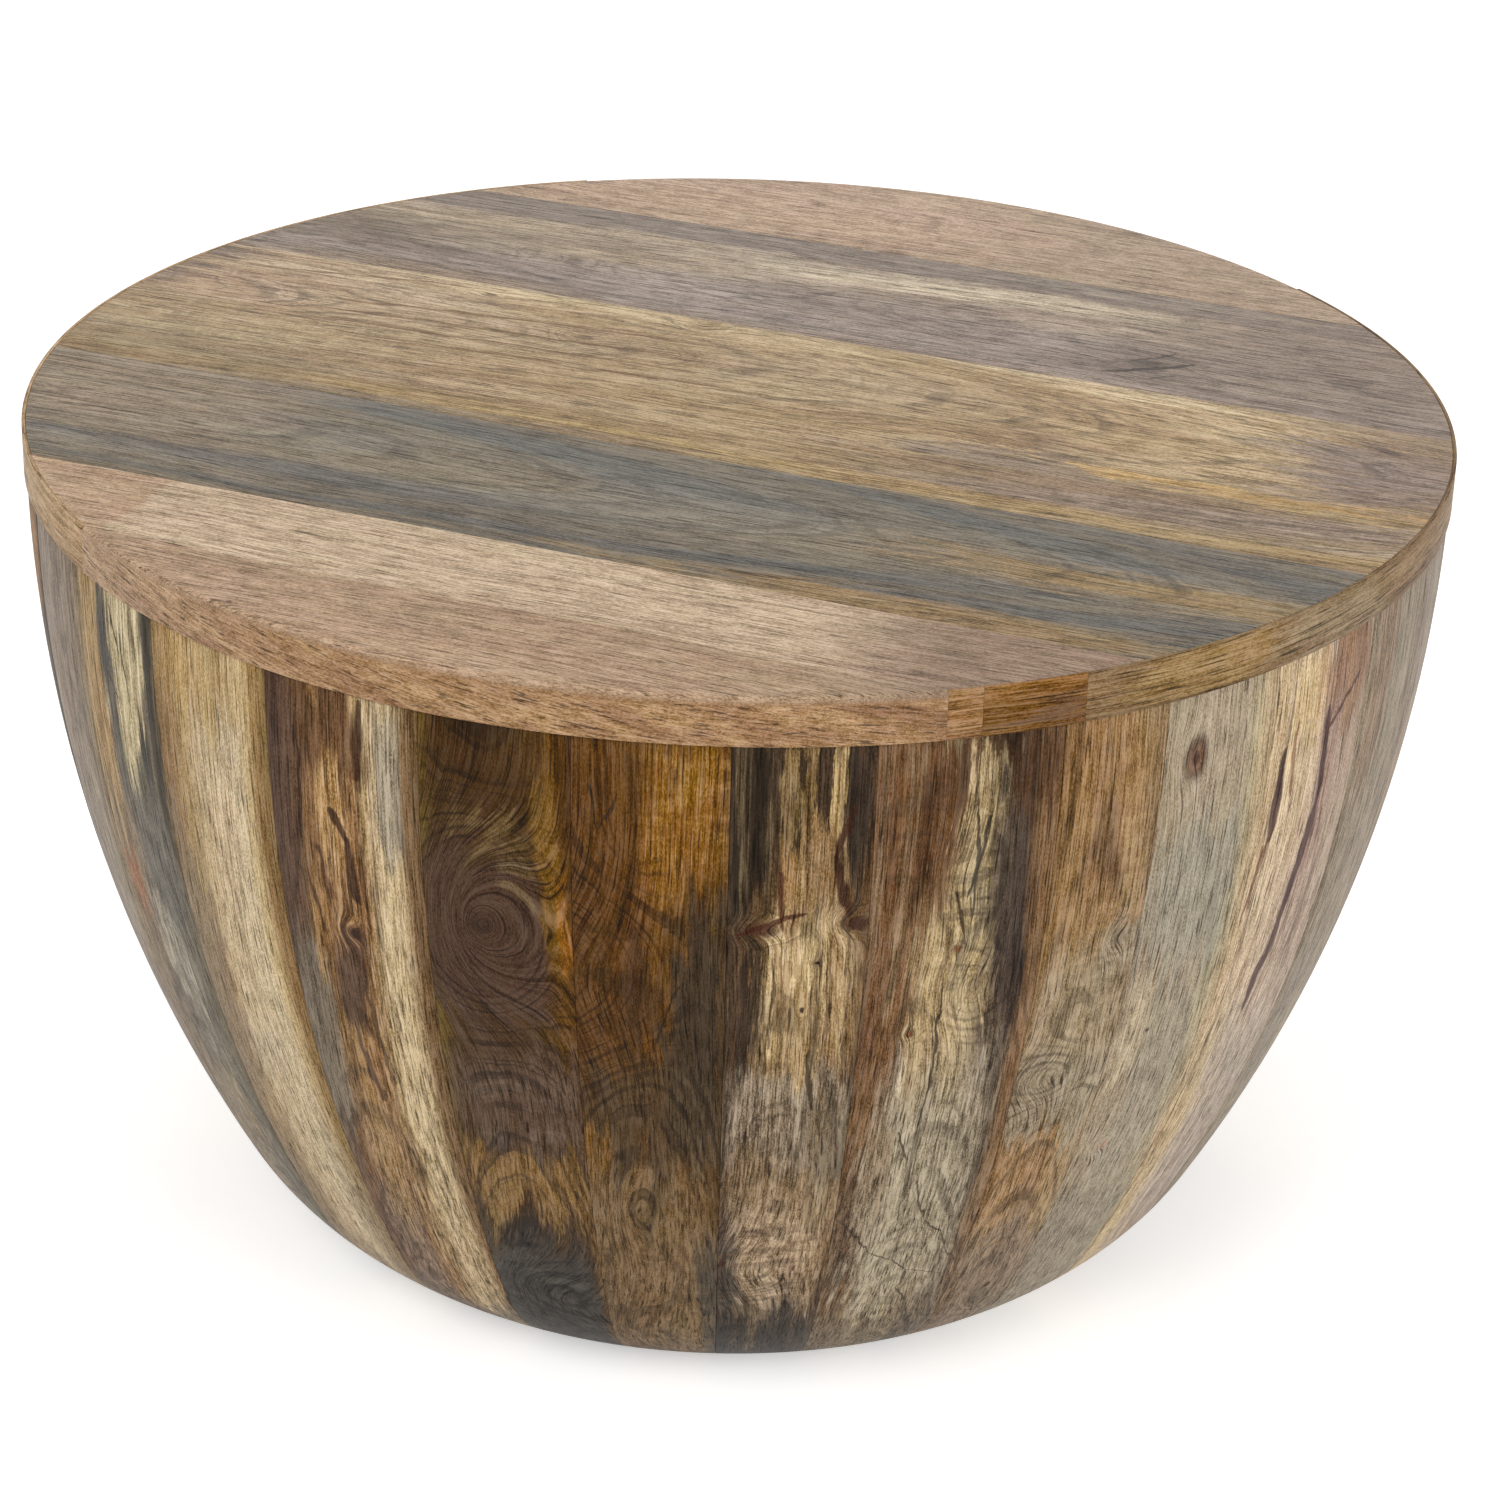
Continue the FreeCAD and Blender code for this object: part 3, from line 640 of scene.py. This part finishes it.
staveLooks[7] = {
    "bands": [(-46, "74543a"), (-30, "79593c"), (-18, "876a49"), (-6, "a68e68"), (10, "ab9570"), (18, "6b5a47"),
        (30, "4d4035"), (36, "785a3d"), (46, "836240")],
    "patches": [(12, 412, 36, 30, "4a311d", 0.92, 0.35, 2), (-20, 392, 20, 50, "664427", 0.85, 0.3, 2),
        (8, 370, 11, 46, "b8a077", 0.85, 0.25, 5), (14, 352, 4, 40, "5c4e40", 0.8),
        (24, 330, 8, 72, "473b33", 0.9, 0.25, 3), (-3, 300, 15, 40, "b39a71", 0.75, 0.25, 4),
        (-34, 200, 10, 40, "7a5a3c", 0.8), (-20, 248, 4, 16, "cdb796", 0.85), (0, 150, 30, 95, "a5977f", 0.9),
        (-22, 176, 7, 30, "8a7358", 0.6), (38, 120, 8, 60, "866b4f", 0.7), (-38, 90, 7, 70, "77654f", 0.7),
        (0, 30, 48, 28, "7b6c58", 0.8)],
    "knots": [knot(0, 316, 3.6, "74442c", stretch=1.3), knot(-19, 267, 4.4, "70402a", stretch=0.9),
        knot(4, 352, 16, stretch=2.0, push=0.4, rings=1.05, dark=0.0),
        knot(10, 290, 22, stretch=1.2, push=0.4, rings=0.9, dark=0.0)],
    "cracks": [(-5, 300, -6, 205, 0.8, "3b342c"), (-16, 203, -8, 182, 0.8, "4f4335"),
        (-3, 166, 10, 133, 0.8, "4f4335"), (10, 133, 20, 121, 0.8, "4f4335"), (20, 121, 24, 108, 0.7, "4f4335"),
        (24, 108, 38, 90, 0.7, "554838"), (-36, 142, -17, 112, 0.7, "554838"), (-17, 112, -2, 103, 0.7, "554838"),
        (-2, 103, 6, 93, 0.7, "4f4335"), (6, 93, 5, 78, 0.7, "4f4335"), (5, 78, 13, 64, 0.7, "554838"),
        (6, 93, 31, 83, 0.6, "554838"), (2, 400, 8, 330, 1.0, "3f362c"), (10, 390, 3, 345, 1.0, "3f362c"),
        (-4, 350, 6, 318, 0.9, "4a3a2c")],
    "curls": [(8, 345, 14, 36, 6, "4a3d33", 0.6), (-26, 390, 16, 40, 8, "4b3422", 0.6)],
    "streak": ("362a20", 0.6), "pale": ("bfa884", 0.25), "contrast": 1.8, "ringGap": 2.4, "ringInk": 0.45,
    "pith": (4, 246),
}
staveLooks[8] = {
    "bands": [(-29, "7a5c38"), (-18, "94744c"), (0, "9a7b54"), (16, "9b7e58"), (29, "907656")],
    "patches": [(0, 405, 26, 26, "8d6940", 0.6), (0, 345, 12, 24, "8d6a48", 0.6), (18, 300, 9, 20, "8f8472", 0.7),
        (0, 250, 26, 60, "9b8a70", 0.75), (0, 210, 26, 30, "90826c", 0.75), (-8, 150, 16, 26, "987650", 0.8),
        (0, 60, 30, 58, "857361", 0.85)],
    "knots": [knot(16, 304, 9, "5a4d3d", stretch=1.3, rings=1.5, dark=0.5),
        knot(-10, 222, 24, stretch=0.7, rings=0.9, dark=0.0),
        knot(2, 52, 9, "51463a", stretch=2.0, rings=1.2, dark=0.6)],
    "curls": [(4, 360, 22, 60, 10, "866443", 0.6), (8, 290, 16, 30, 7, "7c6b52", 0.6),
        (-4, 130, 20, 40, 9, "a58560", 0.5)],
    "streak": ("5e4a2c", 0.4), "ringGap": 2.6, "ringInk": 0.5, "pith": (0, 250),
}
staveLooks[9] = {
    "bands": [(-37, "97866e"), (-10, "a19079"), (15, "a09078"), (24, "a39476"), (29, "b09a78"), (37, "ab9572")],
    "patches": [(-5, 318, 28, 44, "918b7b", 0.7), (-24, 236, 9, 26, "b8a688", 0.7), (4, 200, 18, 60, "968d7b", 0.6),
        (0, 70, 34, 60, "908674", 0.7)],
    "knots": [knot(-17, 397, 11, "3a2219", stretch=1.6, push=0.7, dark=1.0, edge=0.45),
        knot(-17, 397, 8, "80614b", stretch=1.6, push=0.0, rings=0.0, dark=0.85, edge=0.45),
        knot(-17, 397, 4, "3f271d", stretch=1.6, push=0.0, rings=0.0, dark=0.9, edge=0.45),
        knot(-12, 236, 3, "3f332a", stretch=0.8, dark=0.9),
        knot(-13, 158, 7, "94705a", stretch=1.0, rings=1.6, dark=0.6)],
    "streak": ("80765f", 0.25), "contrast": 0.5, "threads": 0.8, "hair": 2.4, "mottle": 0.6, "ringInk": 0.2,
    "pith": (-4, 240),
}
staveLooks[10] = {
    "bands": [(-42, "c0a682"), (-20, "c4ad8c"), (0, "bca488"), (12, "aa9380"), (28, "a48d7b"), (42, "9a8670")],
    "patches": [(22, 412, 20, 28, "83634a", 0.85, 0.3, 2), (-14, 410, 12, 26, "c6a878", 0.6),
        (10, 414, 16, 18, "9c7a5a", 0.7, 0.3, 3), (22, 262, 5, 40, "8c7566", 0.7),
        (9, 330, 9, 70, "8f7468", 0.6, 0.7), (-2, 250, 9, 50, "8f7468", 0.6, 0.7), (0, 190, 34, 28, "a5988a", 0.7),
        (10, 110, 26, 60, "ab9d90", 0.7), (-30, 130, 9, 90, "bfaa80", 0.6), (-10, 262, 34, 56, "cbb8a2", 0.35, 0.7)],
    "cracks": [(-29, 384, -30, 356, 1.6, "45302a"), (-29, 372, -31, 330, 3.0, "40292a"),
        (-31, 338, -37, 282, 1.2, "6a4c3c"), (5, 396, 8, 335, 2.8, "452c2b"), (8, 352, 1, 280, 3.4, "452d2c"),
        (2, 300, -8, 216, 3.0, "482f2d"), (4, 378, 32, 406, 2.0, "553833"), (13, 380, 5, 250, 1.0, "836457"),
        (-22, 396, -19, 352, 1.4, "86654a"), (26, 318, 20, 236, 2.0, "80685a"), (14, 360, 16, 300, 1.2, "8a6d58"),
        (-34, 330, -33, 290, 1.2, "8a6b50")],
    "streak": ("94795c", 0.35), "contrast": 0.6, "threads": 0.9, "hair": 2.2, "mottle": 0.5, "ringInk": 0.15,
    "pith": (0, 230),
}
staveLooks[11] = {
    "bands": [(-38, "8c7d68"), (0, "8a7c69"), (20, "90816e"), (38, "82745e")],
    "patches": [(-15, 190, 14, 50, "82766a", 0.5), (-20, 380, 12, 60, "8a7058", 0.6)],
    "streak": ("6b604f", 0.3), "ringInk": 0.2, "pith": (0, 220),
}

# boards for the side that the photo doesn't show: each is cut from the same timber as a board in front
cutBeside = {12: 31, 13: 3, 14: 10, 15: 5, 16: 4, 17: 2, 18: 7, 19: 8, 20: 9, 21: 6, 22: 3, 23: 5, 24: 10, 25: 4,
             26: 8, 27: 1, 28: 7, 29: 2, 30: 5}
# how far a hidden board's marks move in millimetres, how their size changes, and below which height they stay
hiddenDrift = {"across": (-8, 8), "along": (-80, 40), "sideways": (-5, 5), "lengthways": (-18, 18), "size": (0.8, 1.2),
               "footBelow": 70, "kneeBelow": 140}


def hiddenLook(number, drift):  # the marks of its neighbour in the log, turned over, moved along and drawn anew
    dice = random.Random(number)
    near = staveLooks[cutBeside[number]]
    turn = dice.choice((-1, 1))
    moveAcross, moveAlong = dice.uniform(*drift["across"]), dice.uniform(*drift["along"])

    def moved(spot):
        return turn * spot[0] + moveAcross, spot[1] + moveAlong

    patches = []
    for patch in near["patches"]:
        across, along = moved(patch) if patch[1] > drift["footBelow"] else patch[:2]
        patches.append((across + dice.uniform(*drift["sideways"]), along + dice.uniform(*drift["lengthways"]),
                        *(half * dice.uniform(*drift["size"]) for half in patch[2:4]), *patch[4:]))
    knots = [{**mark, "at": moved(mark["at"])} for mark in near.get("knots", []) if mark["at"][1] > drift["kneeBelow"]]
    cracks = [(*moved(crack[:2]), *moved(crack[2:]), *crack[4:]) for crack in near.get("cracks", [])]
    curls = [(*moved(curl), *curl[2:]) for curl in near.get("curls", [])]
    bands = sorted((turn * spot, code) for spot, code in near["bands"])
    return {**near, "bands": bands, "patches": patches, "curls": curls, "knots": knots, "cracks": cracks}


def makeStaves(form, looks):
    section = makeSection(form)
    widths = [form["widths"][index % len(form["widths"])] for index in range(form["count"])]
    start = form["firstEdge"] - 90.0
    for number, width in enumerate(widths, 1):
        span = 360.0 * width / sum(widths)
        node = f"stave_{number:02d}"
        stave = copyOf(section, f"bowedStave{number:02d}")
        spinSolid(stave, start, span, form["turnSteps"])
        breakEdges(stave, form["arris"])
        look = {**(looks.get(number) or hiddenLook(number, hiddenDrift)), "seed": number}
        dress(stave, figuredWood(f"staveWood{number:02d}", look, "stave", start + span / 2), node)
        start += span
    bpy.data.objects.remove(section)


makeStaves(staveForm, staveLooks)
print("staves made")

# top: a turned disc, sawn into planks along the grain
topForm = {
    "radius": 0.38093, "height": 0.457, "thick": 0.025, "rounding": 0.003, "sides": 360, "heading": -21.5,
    "planks": ("front", "grey", "gold", "brown", "back"), "widths": (0.146, 0.144, 0.196, 0.153, 0.123),
    "lippingThick": 0.002, "lippingRounding": 0.0005, "lippingHalf": 53.5, "glueLine": 0.0001, "arris": 0.00025,
    "sharpEdge": 60.0, "overcut": 0.01, "nearEdge": 0.0005,
    "finish": {"contrast": 0.6, "threads": 1.1, "hair": 2.9, "sway": 16, "ringGap": 2.0, "gloss": 0.22},
}
plankLooks = {
    "front": {
        "bands": [(-385, "aa8c70"), (-330, "ac9073"), (-308, "a68a6e"), (-306, "bda588"), (-235, "bda588")],
        "patches": [(-270, -300, 80, 86, "af9173", 0.9, 0.04), (-262, 314, 84, 140, "88705c", 0.92, 0.3),
            (-330, 60, 30, 120, "9d8065", 0.4, 0.6)],
        "knots": [knot(-333, 95, 3, "5d4a3c", stretch=2.0, dark=0.7), knot(-357, -117, 2.5, "4a3a30", stretch=1.2)],
        "feather": 1.0, "rag": 0.12, "contrast": 0.35, "threads": 0.7, "hair": 2.2, "streak": ("8a6c52", 0.2),
        "ringInk": 0.2, "pith": (-330, 390), "tilt": -0.08, "seed": 41,
    },
    "grey": {
        "bands": [(-236, "776c5c"), (-222, "68635b"), (-200, "635f59"), (-180, "746d62"), (-160, "7e7566"),
            (-135, "736e65"), (-110, "65615b"), (-90, "70685c")],
        "patches": [(-128, -300, 58, 95, "95826b", 0.9, 0.6, 1), (-157, 270, 15, 100, "96794c", 0.8, 0.5, 3),
            (-228, 190, 12, 130, "93774f", 0.85, 0.5, 3), (-212, -260, 9, 80, "8e8474", 0.6, 0.5),
            (-120, 40, 14, 200, "696860", 0.6, 0.5), (-168, -60, 12, 150, "857b68", 0.5, 0.5, 3)],
        "heart": ("8a7656", 0.3), "streak": ("55514a", 0.35), "pale": ("a08d6c", 0.2), "ringInk": 0.4,
        "pith": (-150, 405), "tilt": 0.11, "seed": 42,
    },
    "gold": {
        "bands": [(-92, "88765e"), (-76, "a1875e"), (-52, "9a856a"), (-30, "a68f6c"), (10, "ab9370"), (50, "ab9372"),
            (85, "b59b74"), (106, "baa17c")],
        "patches": [(66, -280, 44, 95, "c2aa8d", 0.9, 0.5), (48, -330, 26, 36, "b4967b", 0.75, 0.6),
            (76, -372, 42, 16, "7d6b5e", 0.85, 0.6), (-34, -10, 30, 190, "b1966f", 0.75, 0.6, 3),
            (4, 172, 24, 30, "88735f", 0.85, 0.35, 2), (-24, 190, 12, 70, "8e7a66", 0.8, 0.4, 2),
            (36, 240, 42, 75, "bfa57e", 0.85, 0.35, 3), (-48, 250, 25, 135, "907d6c", 0.92, 0.45, 2),
            (54, 350, 66, 56, "86746a", 0.9, 0.45, 2), (-14, 285, 7, 80, "c09a5c", 0.75, 0.35, 6),
            (96, 40, 11, 250, "cbb38d", 0.85, 0.5, 3), (-79, 0, 6, 340, "b0925c", 0.5, 0.5, 5),
            (-70, -300, 16, 80, "94805f", 0.7, 0.5, 3)],
        "knots": [knot(88, -190, 6, "6f5639", stretch=1.6, rings=1.6, dark=0.6),
            knot(92, -60, 9, "75593a", stretch=1.5, rings=1.6, dark=0.45),
            knot(48, -113, 7, "6f5639", rings=1.6, dark=0.55)],
        "cracks": [(44, -275, 66, -70, 1.4, "7b5f40"), (30, -270, 44, -40, 1.3, "7b5f40"),
            (14, -275, 24, -30, 1.2, "7b5f40"), (-2, -260, 6, 0, 1.2, "806344"), (76, -330, 96, -200, 1.3, "806447")],
        "curls": [(-14, -290, 26, 90, 4, "bfa883", 0.5), (-44, 260, 22, 100, 5, "7b6858", 0.5)],
        "heart": ("8d6f45", 0.4), "streak": ("7a6143", 0.35), "pale": ("bda67e", 0.25), "ringInk": 0.45,
        "pith": (40, 372), "tilt": 0.1, "seed": 43,
    },
    "brown": {
        "bands": [(104, "9b8a7c"), (125, "998a7f"), (160, "978779"), (185, "ab9783"), (212, "b8a48b"),
            (228, "b09c85"), (236, "897a6e"), (259, "8f8071")],
        "patches": [(214, 30, 12, 150, "cebca1", 0.85, 0.4, 4), (188, -215, 34, 110, "ab967a", 0.85, 0.5, 3),
            (168, -305, 32, 50, "73624d", 0.8, 0.5, 3), (142, -30, 28, 190, "9b8b80", 0.85, 0.5, 1),
            (180, 290, 75, 110, "897768", 0.85, 0.5, 1), (116, -240, 10, 90, "8d765c", 0.6, 0.5),
            (144, 176, 24, 36, "6f6158", 0.5, 0.7)],
        "knots": [knot(146, 184, 9, "564a40", stretch=2.2, rings=1.4, dark=0.6, edge=0.5)],
        "cracks": [(156, 208, 122, 163, 2.4, "40362e"), (166, 194, 144, 170, 1.4, "54483f"),
            (138, 206, 120, 186, 1.2, "5a4e45")],
        "heart": ("7b6a5e", 0.35), "streak": ("6b5d52", 0.35), "pale": ("b8a68b", 0.2), "ringInk": 0.4,
        "pith": (165, 405), "tilt": -0.1, "seed": 44,
    },
    "back": {
        "bands": [(258, "b0967d"), (290, "ba9e83"), (330, "bb9f86"), (385, "b69a80")],
        "patches": [(315, 190, 70, 145, "a68f77", 0.75, 0.25), (262, -10, 3, 8, "7d6652", 0.6)],
        "cracks": [(258, -109, 272, -106, 1.2, "7a6250"), (258, 3, 274, 5, 1.4, "6f5947")],
        "contrast": 0.35, "threads": 0.7, "hair": 2.2, "streak": ("967e66", 0.25), "ringInk": 0.25,
        "pith": (320, 395), "tilt": 0.08, "seed": 45,
    },
}


def roundEdges(thing, wanted, width, segments):  # rounds the edges whose ends are both wanted
    only(thing)
    bpy.ops.object.mode_set(mode="EDIT")
    bpy.ops.mesh.select_mode(type="EDGE")
    bpy.ops.mesh.select_all(action="DESELECT")
    bpy.ops.object.mode_set(mode="OBJECT")
    points = thing.data.vertices
    for edge in thing.data.edges:
        edge.select = all(wanted(points[index].co) for index in edge.vertices)
    bpy.ops.object.mode_set(mode="EDIT")
    bpy.ops.mesh.bevel(offset=width, segments=segments, affect="EDGES")
    bpy.ops.object.mode_set(mode="OBJECT")


def makeDisc(form):
    bpy.ops.object.select_all(action="DESELECT")
    bpy.ops.mesh.primitive_cylinder_add(vertices=form["sides"], radius=form["radius"], depth=form["thick"],
                                        location=(0, 0, form["height"] - form["thick"] / 2))
    disc = bpy.context.object
    bpy.ops.object.transform_apply(location=True, rotation=True, scale=True)
    roundEdges(disc, lambda spot: spot.z > form["height"] - form["nearEdge"], form["rounding"], 4)
    disc.name = "topDisc"
    return disc


def makeStrip(start, span, radii, heights, name):  # a bent bar round the rim
    bpy.ops.object.select_all(action="DESELECT")
    bpy.ops.mesh.primitive_grid_add(x_subdivisions=1, y_subdivisions=1, size=2)
    bar = bpy.context.object
    bar.name = name
    for vertex in bar.data.vertices:
        vertex.co = (radii[vertex.co.x > 0], 0.0, heights[vertex.co.y > 0])
    spinSolid(bar, start, span, max(2, round(span)))
    return bar


def sawOut(disc, form, name, near, far):  # keeps what lies between two joints
    plank = copyOf(disc, name)
    heading = math.radians(form["heading"])
    normal = (-math.sin(heading), math.cos(heading), 0.0)
    for offset, side in ((near, "inner"), (far, "outer")):
        editAll(plank)
        bpy.ops.mesh.bisect(plane_co=[part * offset for part in normal], plane_no=normal, use_fill=True,
                            clear_inner=side == "inner", clear_outer=side == "outer")
        bpy.ops.object.mode_set(mode="OBJECT")
    return plank


def makeTop(form, looks):
    disc = makeDisc(form)
    heading, half, spare = form["heading"], form["lippingHalf"], form["overcut"]
    radii = (form["radius"] - form["lippingThick"] - form["glueLine"], form["radius"] + 2 * spare)
    heights = (form["height"] - form["thick"] - spare, form["height"] + spare)
    cutters = [makeStrip(heading + end - half, 2 * half, radii, heights, f"lippingCutter{end}") for end in (0, 180)]
    near = -form["radius"]
    for plankName, width in zip(form["planks"], form["widths"]):
        far = near + width
        label = plankName.capitalize()
        plank = sawOut(disc, form, f"topPlank{label}", near - spare if plankName == "front" else near,
                       far + spare if plankName == "back" else far)
        for cutter in cutters:
            only(plank)
            cut = plank.modifiers.new("endCut", "BOOLEAN")
            cut.object = cutter
            cut.operation = "DIFFERENCE"
            cut.solver = "EXACT"
            bpy.ops.object.modifier_apply(modifier="endCut")
        tidyShell(plank)
        breakEdges(plank, form["arris"], form["sharpEdge"])
        material = figuredWood(f"plankWood{label}", {**form["finish"], **looks[plankName]}, "plank", heading)
        dress(plank, material, f"plank_{plankName}")
        near = far
    for thing in cutters + [disc]:
        bpy.data.objects.remove(thing)


makeTop(topForm, plankLooks)
print("top planks made")

# lipping: thin strips bent over the end grain of the planks
lippingParts = {
    "lipping_right_filler": {"from": 0.0, "span": 2.6, "look": {
        "bands": [(-14, "8a6440"), (0, "956e46"), (14, "8f6943")],
        "streak": ("7d6038", 0.4), "ringInk": 0.2, "seed": 51,
    }},
    "lipping_right_short": {"from": 2.6, "span": 7.9, "look": {
        "bands": [(-14, "7f5a2c"), (-4, "704c26"), (6, "7b562c"), (14, "8c6534")],
        "patches": [(-2, 17, 9, 10, "644831", 0.8)],
        "streak": ("3d2b1d", 0.5), "ringInk": 0.6, "seed": 52,
    }},
    "lipping_right_long": {"from": 10.5, "span": 96.5, "look": {
        "bands": [(-14, "684f34"), (-8, "7b6042"), (2, "876c4a"), (14, "806546")],
        "patches": [(2, -250, 12, 40, "977949", 0.6), (0, -150, 14, 40, "8d7b60", 0.6)],
        "streak": ("55432d", 0.35), "contrast": 0.8, "threads": 1.3, "hair": 2.4, "ringInk": 0.4, "seed": 53,
    }},
    "lipping_left": {"from": 180.0, "span": 107.0, "look": {
        "bands": [(-14, "967853"), (0, "a98a64"), (14, "ae906d")],
        "streak": ("6e5538", 0.3), "contrast": 0.7, "threads": 1.2, "hair": 2.4, "ringInk": 0.3, "seed": 54,
    }},
}


def makeLipping(form, parts):
    radius, height, margin = form["radius"], form["height"], form["nearEdge"]
    radii, heights = (radius - form["lippingThick"], radius), (height - form["thick"], height)
    for node, part in parts.items():
        start = form["heading"] - form["lippingHalf"] + part["from"]
        label = node.replace("_", "")
        strip = makeStrip(start, part["span"], radii, heights, label + "Strip")
        roundEdges(strip, lambda spot: spot.z > height - margin and math.hypot(spot.x, spot.y) > radius - margin,
                   form["lippingRounding"], 3)
        breakEdges(strip, form["arris"], form["sharpEdge"])
        material = figuredWood(label + "Wood", part["look"], "bent", start + part["span"] / 2)
        dress(strip, material, node)


makeLipping(topForm, lippingParts)
print("lipping made")

# inner pieces keep their CAD shape and get a finish
innerFinish = {"softwood": ("b08a55", "d2b07c", 60.0), "plywood": ("a98555", "c8a673", 80.0)}


def plainWood(name, dark, pale, rate):
    material, tree, shader = newMaterial(name)
    place = objectPlace(tree)
    bands = grainNoise(tree, place, (rate, rate * 0.05, rate), 5.0, 0.6)
    fine = grainNoise(tree, place, (700, 40, 700), 3.0, 0.6)
    colour = mixColour(tree, soften(tree, bands, 0.3, 0.7), tone(dark), tone(pale))
    lines = times(tree, soften(tree, fine, 0.5, 0.75), 0.3)
    colour = mixColour(tree, lines, colour, tone("7d5c34"), "MULTIPLY")
    feed(tree, shader.inputs["Base Color"], colour)
    feed(tree, shader.inputs["Roughness"], addTimes(tree, fine, 0.2, 0.6))
    return material


def zincPlate():
    material, tree, shader = newMaterial("zincPlate")
    cloud = grainNoise(tree, objectPlace(tree), (900, 900, 900), 3.0, 0.6)
    feed(tree, shader.inputs["Base Color"], mixColour(tree, cloud, tone("a89f86"), tone("d3cfc4")))
    feed(tree, shader.inputs["Roughness"], addTimes(tree, cloud, 0.25, 0.22))
    shader.inputs["Metallic"].default_value = 1.0
    return material


def mouldedNylon():
    material, tree, shader = newMaterial("mouldedNylon")
    grain = grainNoise(tree, objectPlace(tree), (2500, 2500, 2500), 2.0, 0.5)
    feed(tree, shader.inputs["Base Color"], mixColour(tree, grain, tone("26231f"), tone("37332d")))
    feed(tree, shader.inputs["Roughness"], addTimes(tree, grain, 0.15, 0.45))
    addBump(tree, shader, grain, 0.2, 0.0003)
    return material


def finishInside():
    finishes = {name: plainWood(name + "Finish", *look) for name, look in innerFinish.items()}
    finishes["screw_steel"] = zincPlate()
    finishes["nylon"] = mouldedNylon()
    for entry in frame["record"]["subparts"]:
        if entry["material_slot"] in finishes:
            node = frame["nodes"][entry["node"]]
            node.data.materials.clear()
            node.data.materials.append(finishes[entry["material_slot"]])


finishInside()
print("inner pieces finished")

# stage: pale floor, white surround, soft lamps
stageLook = {"floorSize": 16.0, "floorTones": ("f1f0ee", "f4f3f1"), "floorGlow": 0.45, "fill": 0.54, "aimHeight": 0.25,
             "lamps": (("keyLamp", (-1.6, -2.2, 2.6), 2.2, 50.0), ("sideLamp", (2.3, -1.8, 1.2), 2.0, 36.0),
                       ("topLamp", (0.2, 0.8, 3.2), 2.6, 21.0))}


def raysSeen(tree):  # what the eye meets straight on, mirrored or through glass
    rays = addNode(tree, "ShaderNodeLightPath").outputs
    seen = calc(tree, "MAXIMUM", rays["Is Camera Ray"], rays["Is Glossy Ray"])
    return calc(tree, "MAXIMUM", seen, rays["Is Transmission Ray"])


def makeStage(look):
    bpy.ops.object.select_all(action="DESELECT")
    bpy.ops.mesh.primitive_grid_add(x_subdivisions=8, y_subdivisions=8, size=look["floorSize"])
    floor = bpy.context.object
    floor.name = "paleFloor"
    material, tree, shader = newMaterial("paleFloorFinish")
    cloud = grainNoise(tree, objectPlace(tree), (3, 3, 3), 3.0)
    feed(tree, shader.inputs["Base Color"], mixColour(tree, cloud, *(tone(code) for code in look["floorTones"])))
    shader.inputs["Roughness"].default_value = 0.8
    shader.inputs["Specular IOR Level"].default_value = 0.1
    feed(tree, shader.inputs["Emission Color"], (1.0, 1.0, 1.0, 1.0))
    feed(tree, shader.inputs["Emission Strength"], times(tree, raysSeen(tree), look["floorGlow"]))
    floor.data.materials.append(material)

    world = bpy.data.worlds.new("studioAir")
    scene.world = world
    world.use_nodes = True
    air = world.node_tree
    air.nodes.clear()
    glow = addNode(air, "ShaderNodeBackground")
    feed(air, glow.inputs["Color"], (1.0, 1.0, 1.0, 1.0))
    feed(air, glow.inputs["Strength"], addTimes(air, raysSeen(air), 1.0 - look["fill"], look["fill"]))
    shown = addNode(air, "ShaderNodeOutputWorld")
    air.links.new(glow.outputs[0], shown.inputs["Surface"])

    for name, place, size, power in look["lamps"]:
        bpy.ops.object.light_add(type="AREA", location=place)
        lamp = bpy.context.object
        lamp.name = name
        lamp.data.shape = "DISK"
        lamp.data.size = size
        lamp.data.energy = power
        aim = [0.0 - place[0], 0.0 - place[1], look["aimHeight"] - place[2]]
        flat = math.hypot(aim[0], aim[1])
        lamp.rotation_euler = (math.atan2(flat, -aim[2]), 0.0, math.atan2(aim[1], aim[0]) - math.pi / 2)


makeStage(stageLook)
scene.view_settings.view_transform = "Standard"
print("stage lit")
